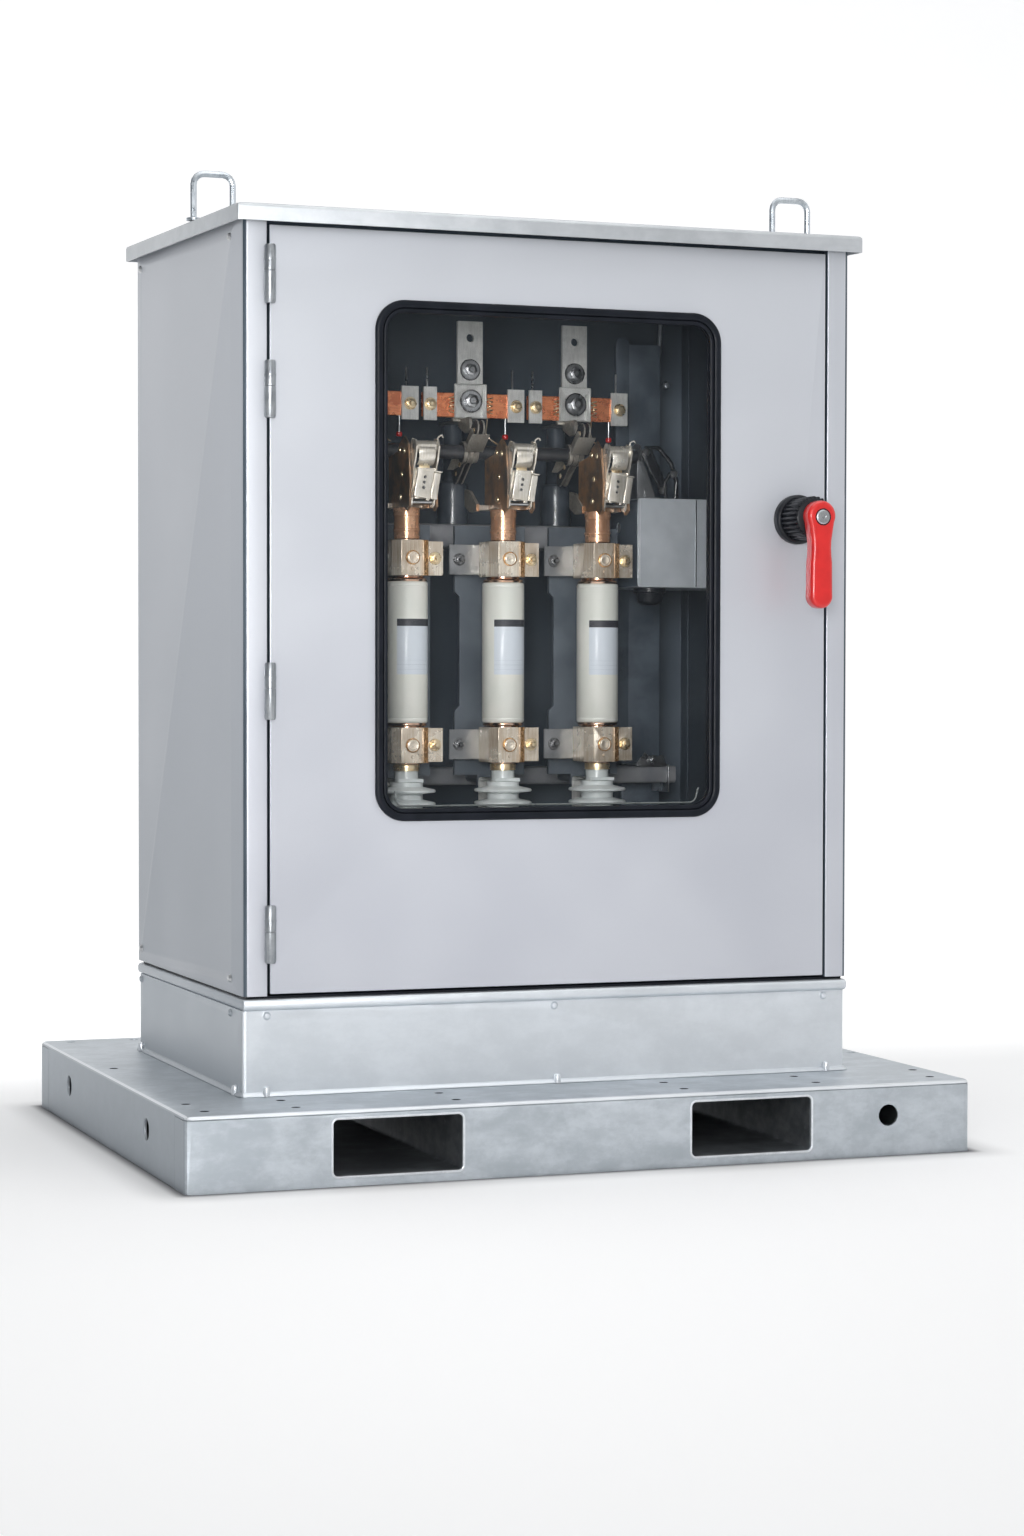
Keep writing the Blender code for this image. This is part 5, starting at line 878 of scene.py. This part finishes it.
def line_bars():
    """Tinned bars from above with a dim hole, each clamped by a square plate with a hexagon bolt."""
    for phase, x in LINE_X.items():
        def plate_area(middle, normal):
            return middle.y < 0.0466

        def old_bolt(middle, normal):
            near = math.hypot(middle.x - x, middle.z - CLAMP_Z) < 0.0145
            high = math.hypot(middle.x - x, middle.z - LINE_BOLT_Z) < 0.013
            return (near and middle.y < 0.0424) or (high and middle.y < 0.0464)

        dressed("line_bar_" + phase, [TINNED, CLAMP_TIN], 0.0006, [plate_area], dropped=old_bolt)
        lower = hex_bolt((x, 0.043, CLAMP_Z), 0.0112, 0.0072, 0.0165, 0.003, 0.0022)
        upper = hex_bolt((x, 0.047, LINE_BOLT_Z), 0.0098, 0.0066, 0.015, 0.003, 0.002)
        piece("clamp_bolt_" + phase, [lower], PLATED)
        piece("line_bolt_" + phase, [upper], PLATED)
        rings = [turned([(near, 0.0), (far, 0.0), (far, 0.0012), (near, 0.0012)], (x, y, z), "-y", 40)
                 for near, far, y, z in ((0.0152, 0.0168, 0.0472, LINE_BOLT_Z),
                                         (0.0167, 0.0182, 0.0427, CLAMP_Z))]
        piece("washer_shadow_" + phase, rings, DARK_BOLT)
        lip = loops_joined([[(px, y, pz) for px, pz in arc((x, 1.236), radius, 0.0, 337.5, 15)]
                            for radius, y in ((0.0064, 0.0462), (0.0086, 0.0462), (0.0086, 0.0468),
                                              (0.0064, 0.0468))])
        piece("bar_hole_rim_" + phase, [lip], TINNED)


def contact_bars():
    """Copper bars with tinned ends, gold bolts, upright pins, springs, thin bent wires and red tips."""
    for phase, x in LINE_X.items():
        def end_plate(middle, normal):
            return middle.y < 0.0528 and middle.z > 1.105 and not -0.0535 <= middle.x - x <= 0.0635

        def old_bolt(middle, normal):
            return middle.y < 0.0484 and 1.12 < middle.z < 1.142

        def pin(middle, normal):
            return middle.z > 1.1585

        def tongue(middle, normal):
            return middle.z < 1.1118

        dressed("contact_bar_" + phase, [ORANGE_COPPER, PLATED, TINNED, KNIFE_STEEL], 0.0006,
                [pin, end_plate, tongue], dropped=old_bolt)
        bolts = [hex_bolt((x + offset, 0.0491, 1.131), 0.0078, 0.0058, 0.0102, 0.0028, 0.0014)
                 for offset in (-0.065, 0.078)]
        piece("contact_bolts_" + phase, bolts, GOLD_BOLT)
        springs = []
        for offset in (-0.03, 0.034):
            coil = []
            for step in range(44):
                angle = step * math.pi / 5.5
                coil.append((x + offset + 0.0042 * math.cos(angle), 0.049 + 0.0036 * math.sin(angle),
                             1.1185 + step * 0.00058))
            springs.append(swept(coil, 0.001, 6))
        piece("contact_springs_" + phase, springs, GOLD_BOLT)
        wire = bent_wire([(x + 0.029, 0.053, 1.118), (x + 0.029, 0.048, 1.106), (x + 0.025, 0.044, 1.088),
                          (x + 0.03, 0.042, 1.079), (x + 0.044, 0.041, 1.07)], 0.008, 0.0011, 8)
        piece("contact_wires_" + phase, [wire], CLIP_BRASS)
        stem = turned([(0.0, 0.0), (0.0016, 0.0), (0.0016, 0.029), (0.0, 0.029)], (x + 0.062, 0.056, 1.086),
                      "z", 16)
        tip = turned([(0.0, 0.0), (0.0034, 0.0004), (0.0048, 0.002), (0.0048, 0.006), (0.003, 0.008),
                      (0.0, 0.0084)], (x + 0.062, 0.056, 1.079), "z", 24)
        piece("contact_mark_" + phase, [stem, second(tip)], [PLATED, RED])


def knives():
    """The rotor with its dark blades, its drive arm, the blades' rivets and covers, and its bearings."""
    def off_axis(middle):
        return math.hypot(middle.y - ROTOR_Y, middle.z - ROTOR_Z)

    def blade(middle, normal):
        near = any(abs(middle.x - x - BLADE_SHIFT) < 0.0125 for x in LINE_X.values())
        return near and off_axis(middle) > 0.0113

    def arm(middle, normal):
        return 0.238 < middle.x < 0.248 and off_axis(middle) > 0.0112

    dressed("rotor", [ROD_DARK, KNIFE_STEEL, PLATED], 0.0005, [blade, arm])
    open_turn = Matrix.Translation((0.0, ROTOR_Y, ROTOR_Z)) @ Matrix.Rotation(math.radians(54.0), 4, "X")
    for phase, line in LINE_X.items():
        x = line + BLADE_SHIFT
        rivets = []
        for side, facing in ((-1, "-x"), (1, "x")):
            for along in (-0.052, -0.03, 0.03, 0.052):
                head = turned([(0.0, 0.0018), (0.0022, 0.0016), (0.0036, 0.001), (0.0042, 0.0),
                               (0.0, -0.0006)], (x + side * 0.0061, 0.0, along), facing, 20)
                rivets.append(moved(head, open_turn))
        piece("knife_rivets_" + phase, rivets, GOLD_BOLT, "rotor")
    for phase, line in LINE_X.items():
        x = line + BLADE_SHIFT
        covers = [block((x - 0.015, -0.0155, 0.019), (x + 0.015, -0.0135, 0.06), 0.0006),
                  block((x - 0.015, 0.0135, -0.06), (x + 0.015, 0.0155, -0.019), 0.0006),
                  block((x - 0.0112, -0.014, 0.024), (x - 0.0088, 0.002, 0.056), 0.0004),
                  block((x + 0.0088, -0.014, 0.024), (x + 0.0112, 0.002, 0.056), 0.0004)]
        piece("knife_covers_" + phase, [moved(cover, open_turn) for cover in covers], KNIFE_STEEL, "rotor")
    for side in ("left", "right"):
        dressed("rotor_bearing_" + side, BRACKET_GREY)


# Latched heads

def latch_heads():
    """Copper tubes under bronze heads, whose riveted side plates carry the latch pins."""
    for phase, x in FUSE_X.items():
        latch_x = x + LATCH_SHIFT

        def tube(middle, normal):
            return middle.z < 0.9612 and math.hypot(middle.x - x, middle.y - FUSE_Y) < 0.02

        def pin(middle, normal):
            off_axis = math.hypot(middle.y - LATCH_Y, middle.z - LATCH_Z)
            return abs(middle.x - latch_x) < 0.0188 and off_axis < 0.0032

        def contact(middle, normal):
            return middle.y > -0.0225

        dressed("latch_head_" + phase, [BRONZE, TUBE_COPPER, PLATED, KNIFE_STEEL], 0.0006,
                [tube, pin, contact], dropped=tube)
        copper = turned([(0.0, 0.9148), (0.019, 0.9148), (0.0196, 0.9156), (0.0196, 0.926), (0.0206, 0.9268),
                         (0.0206, 0.93), (0.0196, 0.9308), (0.0195, 0.95), (0.0204, 0.9508), (0.0204, 0.9622),
                         (0.0, 0.9625)], (x, FUSE_Y, 0.0), "z", 64)
        piece("head_tube_" + phase, [copper], TUBE_COPPER)
        plate_x = latch_x - 0.023
        rivets = []
        for y, z in ((-0.078, 1.047), (-0.056, 1.05), (-0.066, 1.012), (-0.06, 0.978)):
            rivets.append(turned([(0.0, 0.0022), (0.0026, 0.002), (0.0042, 0.0012), (0.0046, 0.0),
                                  (0.0, -0.0006)], (plate_x, y, z), "-x", 24))
            rivets.append(turned([(0.0, 0.0014), (0.0026, 0.0012), (0.004, 0.0006), (0.0042, 0.0),
                                  (0.0, -0.0006)], (plate_x + 0.003, y, z), "x", 24))
        piece("head_rivets_" + phase, rivets, GOLD_BOLT)


# The finger box about its own middle: each block's lowest and highest corner, edge width and segments
FINGER_BLOCKS = (((-0.018, -0.029, -0.0215), (0.008, -0.0235, 0.0215), 0.0012, 3),
                 ((0.0092, -0.0262, -0.0205), (0.02, -0.0215, 0.02), 0.001, 3),
                 ((-0.019, -0.03, 0.0205), (0.0205, -0.0225, 0.0225), 0.0006, 2),
                 ((-0.015, -0.0285, -0.0245), (-0.01, -0.024, -0.021), 0.0006, 2),
                 ((0.002, -0.0285, -0.0245), (0.007, -0.024, -0.021), 0.0006, 2),
                 ((-0.017, -0.0245, -0.019), (0.018, -0.014, 0.019), 0.0008, 2))


def latches():
    """Plated latches: hooked cheeks, a bright roller between them and a slotted finger box below."""
    y, z = LATCH_Y, LATCH_Z
    for phase, fuse_x in FUSE_X.items():
        x = fuse_x + LATCH_SHIFT
        body = "latch_" + phase

        def roller_area(middle, normal):
            off_axis = math.hypot(middle.y - ROLLER_Y, middle.z - ROLLER_Z)
            return off_axis < 0.0097 and abs(middle.x - x) < 0.0179

        dressed(body, LATCH_PLATED, 0.0007, segments=3, dropped=roller_area)
        roller = turned([(0.0, -0.0178), (0.0092, -0.0178), (0.0095, -0.0172), (0.0095, -0.015),
                         (0.009, -0.0144), (0.009, 0.0144), (0.0095, 0.015), (0.0095, 0.0172),
                         (0.0092, 0.0178), (0.0, 0.0178)], (x, ROLLER_Y, ROLLER_Z), "x", 48)
        center = (y - 0.012, z + 0.072)
        drum = arc(center, 0.0185, 100.0, 262.0, 18) + arc(center, 0.0168, 262.0, 100.0, 18)
        drum = slab(drum, "yz", x - 0.013, x + 0.013, 0.0005)
        tongue = slab([(y - 0.0148, z + 0.0555), (y - 0.0136, z + 0.055), (y - 0.015, z + 0.044),
                       (y - 0.0162, z + 0.044)], "yz", x - 0.0085, x + 0.0085, 0.0003)
        piece("latch_roller_" + phase, [roller, drum, second(tongue)], [LATCH_PLATED, GOLD_BOLT], body)
        lean = Matrix.Translation((x, y, z + 0.025)) @ Matrix.Rotation(math.radians(9.0), 4, "Y")
        box = [block(*measures) for measures in FINGER_BLOCKS]
        for spot in (-0.006, 0.002, 0.01):
            dimple = turned([(0.0, 0.0006), (0.0018, 0.0006), (0.0024, 0.0), (0.0, 0.0)],
                            (-0.005, -0.0289, spot), "-y", 20)
            box.append(second(dimple))
        box = [moved(part, lean) for part in box]
        piece("latch_finger_box_" + phase, box, [LATCH_PLATED, DARK_BOLT], body)
        hook = bent_wire([(x + 0.0182, y - 0.018, z + 0.078), (x + 0.0186, y - 0.023, z + 0.096),
                          (x + 0.023, y - 0.027, z + 0.1), (x + 0.0262, y - 0.025, z + 0.096)],
                         0.004, 0.0012, 8, 6)
        piece("latch_hook_" + phase, [hook], LATCH_PLATED, body)
        heads = []
        for edge, facing in ((x - 0.019, "-x"), (x + 0.019, "x")):
            heads.append(turned([(0.0, 0.0016), (0.003, 0.0014), (0.0044, 0.0006), (0.0046, 0.0),
                                 (0.0, -0.0004)], (edge, y, z), facing, 24))
            heads.append(turned([(0.0, 0.0014), (0.0032, 0.0012), (0.0042, 0.0004), (0.0044, 0.0),
                                 (0.0, -0.0004)], (edge, ROLLER_Y, ROLLER_Z), facing, 24))
        piece("latch_pins_" + phase, heads, PLATED, body)


# Mechanism

def inner_fittings():
    """The pressed bead and strip on the back wall, the rail's end bracket and the dark linkage on the box."""
    wall_y = 0.208
    bead = bent_wire([(x, wall_y, z) for x, z in ((0.387, 1.3), (0.381, 1.17), (0.379, 0.59), (0.374, 0.545),
                                                  (0.36, 0.52), (0.33, 0.512))], 0.03, 0.0034, 12, 10)
    bulb = turned([(0.0, 0.0), (0.005, 0.001), (0.0056, 0.004), (0.0044, 0.009), (0.0, 0.012)],
                  (0.395, 0.205, 1.184), "z", 24)
    strip = slab(rounded_box((0.3005, 0.93), 0.023, 0.66, 0.011, 8), "xz", 0.163, 0.1648, 0.0006)
    # The bead's paler grey is a painted highlight along it
    piece("wall_bead", [bead, bulb], BEAD_HIGHLIGHT_GREY)
    piece("wall_strip", [strip], DARK_PAINT)
    end = [block((0.3, 0.095, 0.561), (0.356, 0.164, 0.5632), 0.0006),
           block((0.354, 0.095, 0.518), (0.3562, 0.164, 0.5632), 0.0006),
           slab([(0.296, 0.5632), (0.35, 0.5632), (0.344, 0.579), (0.326, 0.574), (0.312, 0.583)],
                "xz", 0.094, 0.0962, 0.0005),
           hex_bolt((0.326, 0.0938, 0.57), 0.006, 0.005, 0.009, 0.002)]
    piece("rail_end_bracket", end, PLATED)
    plate = slab([(0.252, 0.986), (0.283, 0.986), (0.283, 0.993), (0.266, 1.038), (0.256, 1.048),
                  (0.252, 1.045)], "xz", -0.015, -0.0128, 0.0006)
    piece("linkage_plate", [plate], BRACKET_GREY)
    arm = slab([(0.256, 1.056), (0.264, 1.069), (0.274, 1.064), (0.296, 1.016), (0.3, 0.996),
                (0.29, 0.993), (0.284, 1.008)], "xz", -0.024, -0.02, 0.001)
    arch = bent_wire([(0.264, -0.018, 1.066), (0.286, -0.02, 1.068), (0.308, -0.02, 1.044),
                      (0.318, -0.018, 1.016), (0.32, -0.014, 0.985)], 0.014, 0.0036)
    loop = bent_wire([(0.296, -0.026, 0.985), (0.294, -0.029, 1.012), (0.304, -0.03, 1.03),
                      (0.314, -0.029, 1.018), (0.312, -0.026, 0.985)], 0.009, 0.003)
    lug = [(0.0, 0.003), (0.0042, 0.0028), (0.006, 0.001), (0.006, -0.004), (0.0, -0.004)]
    lugs = [second(turned(lug, place, "-y", 24))
            for place in ((0.264, -0.0242, 1.06), (0.293, -0.0242, 1.0), (0.308, -0.032, 1.026))]
    piece("linkage_arms", [arm, arch, loop] + lugs, [GLOSS_BLACK, PLATED])


def mechanism():
    """The silver box at the right with its seam, the gland below it, its shafts and the drive link."""
    # Painted shade: the box's left face takes the dark interior paint
    def shaded_left_face(middle, normal):
        return normal.x < -0.9

    dressed("mechanism_housing", [BOX_SILVER, DARK_PAINT], 0.0016, [shaded_left_face], segments=3)
    dressed("mechanism_cover", BOX_SILVER, 0.0007)
    seam = block((0.3313, -0.0664, 0.8475), (0.3325, -0.0652, 0.9835))
    # A pale strip along the box's left front edge: a painted highlight
    edge = block((0.2356, -0.0664, 0.848), (0.2368, -0.0652, 0.983), 0.0003)
    piece("mechanism_seam_and_edge_highlight", [seam, second(edge)], [RUBBER, RIM_ZINC_HIGHLIGHT])
    dressed("cable_gland", BLACK, 0.0008)
    dressed("spindle", PLATED, 0.0004)
    dressed("output_shaft", PLATED, 0.0004)
    dressed("drive_link", BRACKET_GREY, 0.0005)
    dressed("handle_shaft", PLATED, 0.0003)


# Floor, light and camera

def paper_finish():
    """Pale paper that glows a little far off, with a painted contact shadow close round the base, where it
    stands.
    """
    made = Finish("studio_paper", (0.9, 0.9, 0.9), 0.9, 0.0, Emission_Strength=1.0)
    x_away, y_away = abs(made.along("X")), abs(made.along("Y"))
    # Painted contact shadow: a soft and a tight darkening round the base's footprint
    soft = (1 - x_away.spread(0.59, 0.68)) * (1 - y_away.spread(0.465, 0.555))
    tight = (1 - x_away.spread(0.598, 0.622)) * (1 - y_away.spread(0.474, 0.498))
    under = soft * 0.36 + tight * 0.6
    made.feed("Base Color", made.blended(under, (0.9, 0.9, 0.9), (0.1, 0.1, 0.11)))
    glow = made.along("Z").spread(0.0, 1.6) + made.along("Y").spread(0.45, 1.2)
    glow = made.blended(glow, (0.06, 0.06, 0.06), (0.42, 0.42, 0.42))
    # No glow inside the painted shadow
    made.feed("Emission Color", made.blended(under, glow, (0.0, 0.0, 0.0)))
    return made.material


def stage():
    """A pale floor that curves up into a pale backdrop, in air that is paler upwards and to the right."""
    width, front, back, tall, curve = 12.0, -9.0, 11.0, 8.0, 3.0
    profile = [(front, 0.0)] + arc((back - curve, curve), curve, -90.0, 0.0, 24) + [(back, tall)]
    bm = bmesh.new()
    points = [bm.verts.new((-width, y, z)) for y, z in profile]
    line = [bm.edges.new(pair) for pair in zip(points, points[1:])]
    grown = bmesh.ops.extrude_edge_only(bm, edges=line)["geom"]
    bmesh.ops.translate(bm, vec=(2 * width, 0.0, 0.0), verts=corners_in(grown))
    bmesh.ops.recalc_face_normals(bm, faces=bm.faces)
    sweep = smooth_object("studio_sweep", bm)
    sweep.data.materials.append(paper_finish())
    world = bpy.data.worlds.new("studio_air")
    air = Nodes(world)
    heading = air.node("TexCoord", output="Generated")
    right, up = (air.node("SeparateXYZ", {}, [heading], output) for output in ("X", "Z"))
    tone = air.blended((right * 0.55 + up) * (1 / 0.75), (0.44, 0.46, 0.49), (1.0, 1.0, 1.0))
    background = air.tree.nodes["Background"].inputs
    air.tree.links.new(tone.socket, background["Color"])
    background["Strength"].default_value = 0.66
    bpy.context.scene.world = world
    bpy.context.scene.view_settings.view_transform = "Standard"


def area_light(name, place, aim, size, power, color=(1.0, 1.0, 1.0)):
    """A rectangular soft light at a place, turned towards its aim."""
    light = bpy.data.lights.new(name, "AREA")
    light.shape = "RECTANGLE"
    light.size, light.size_y = size
    light.energy = power
    light.color = color
    made = bpy.data.objects.new(name, light)
    made.location = place
    made.rotation_euler = (Vector(aim) - Vector(place)).to_track_quat("-Z", "Y").to_euler()
    bpy.context.scene.collection.objects.link(made)
    return made


def lights():
    """Soft boxes on three sides and above, and a narrow fill through the window."""
    area_light("softbox_left", (-3.6, -2.4, 3.2), (0.0, 0.0, 1.0), (2.0, 2.0), 1.5, (1.0, 0.99, 0.98))
    area_light("softbox_front", (-0.6, -4.6, 2.4), (0.0, 0.0, 0.8), (2.6, 1.8), 20.0, (0.97, 0.98, 1.0))
    area_light("softbox_top", (0.0, -0.4, 3.9), (0.0, 0.0, 0.0), (3.4, 3.0), 56.0)
    fill = area_light("window_fill", (-1.5, -3.6, 1.05), (0.03, -0.05, 0.84), (0.9, 0.9), 5.8)
    fill.data.spread = math.radians(48.0)
    area_light("softbox_right", (3.4, -2.0, 2.2), (0.0, 0.0, 0.8), (1.6, 2.6), 9.0, (0.96, 0.97, 1.0))


def camera():
    """The photograph's camera: low, to the left of the cabinet."""
    yaw, pitch, roll = math.radians(20.3334668), math.radians(-1.6352047), math.radians(0.0886029)
    ahead = Vector((math.sin(yaw) * math.cos(pitch), math.cos(yaw) * math.cos(pitch), math.sin(pitch)))
    right = Vector((math.cos(yaw), -math.sin(yaw), 0.0))
    up = right.cross(ahead)
    side = right * math.cos(roll) + up * math.sin(roll)
    above = up * math.cos(roll) - right * math.sin(roll)
    lens = bpy.data.cameras.new("studio_camera")
    lens.sensor_width = 36.0
    lens.lens = 73.454
    made = bpy.data.objects.new("studio_camera", lens)
    made.matrix_world = Matrix.Translation((-1.6565832, -4.5989814, 0.7024367)) @ Matrix(
        (side, above, -ahead)).transposed().to_4x4()
    bpy.context.scene.collection.objects.link(made)
    bpy.context.scene.camera = made


stage()
lights()
camera()
dress_shell()
base_details()
hinge_rings()
window_surround()
rotary_handle()
dress_steelwork()
dress_boards()
fuses()
post_insulators()
line_bars()
contact_bars()
knives()
latch_heads()
latches()
inner_fittings()
mechanism()
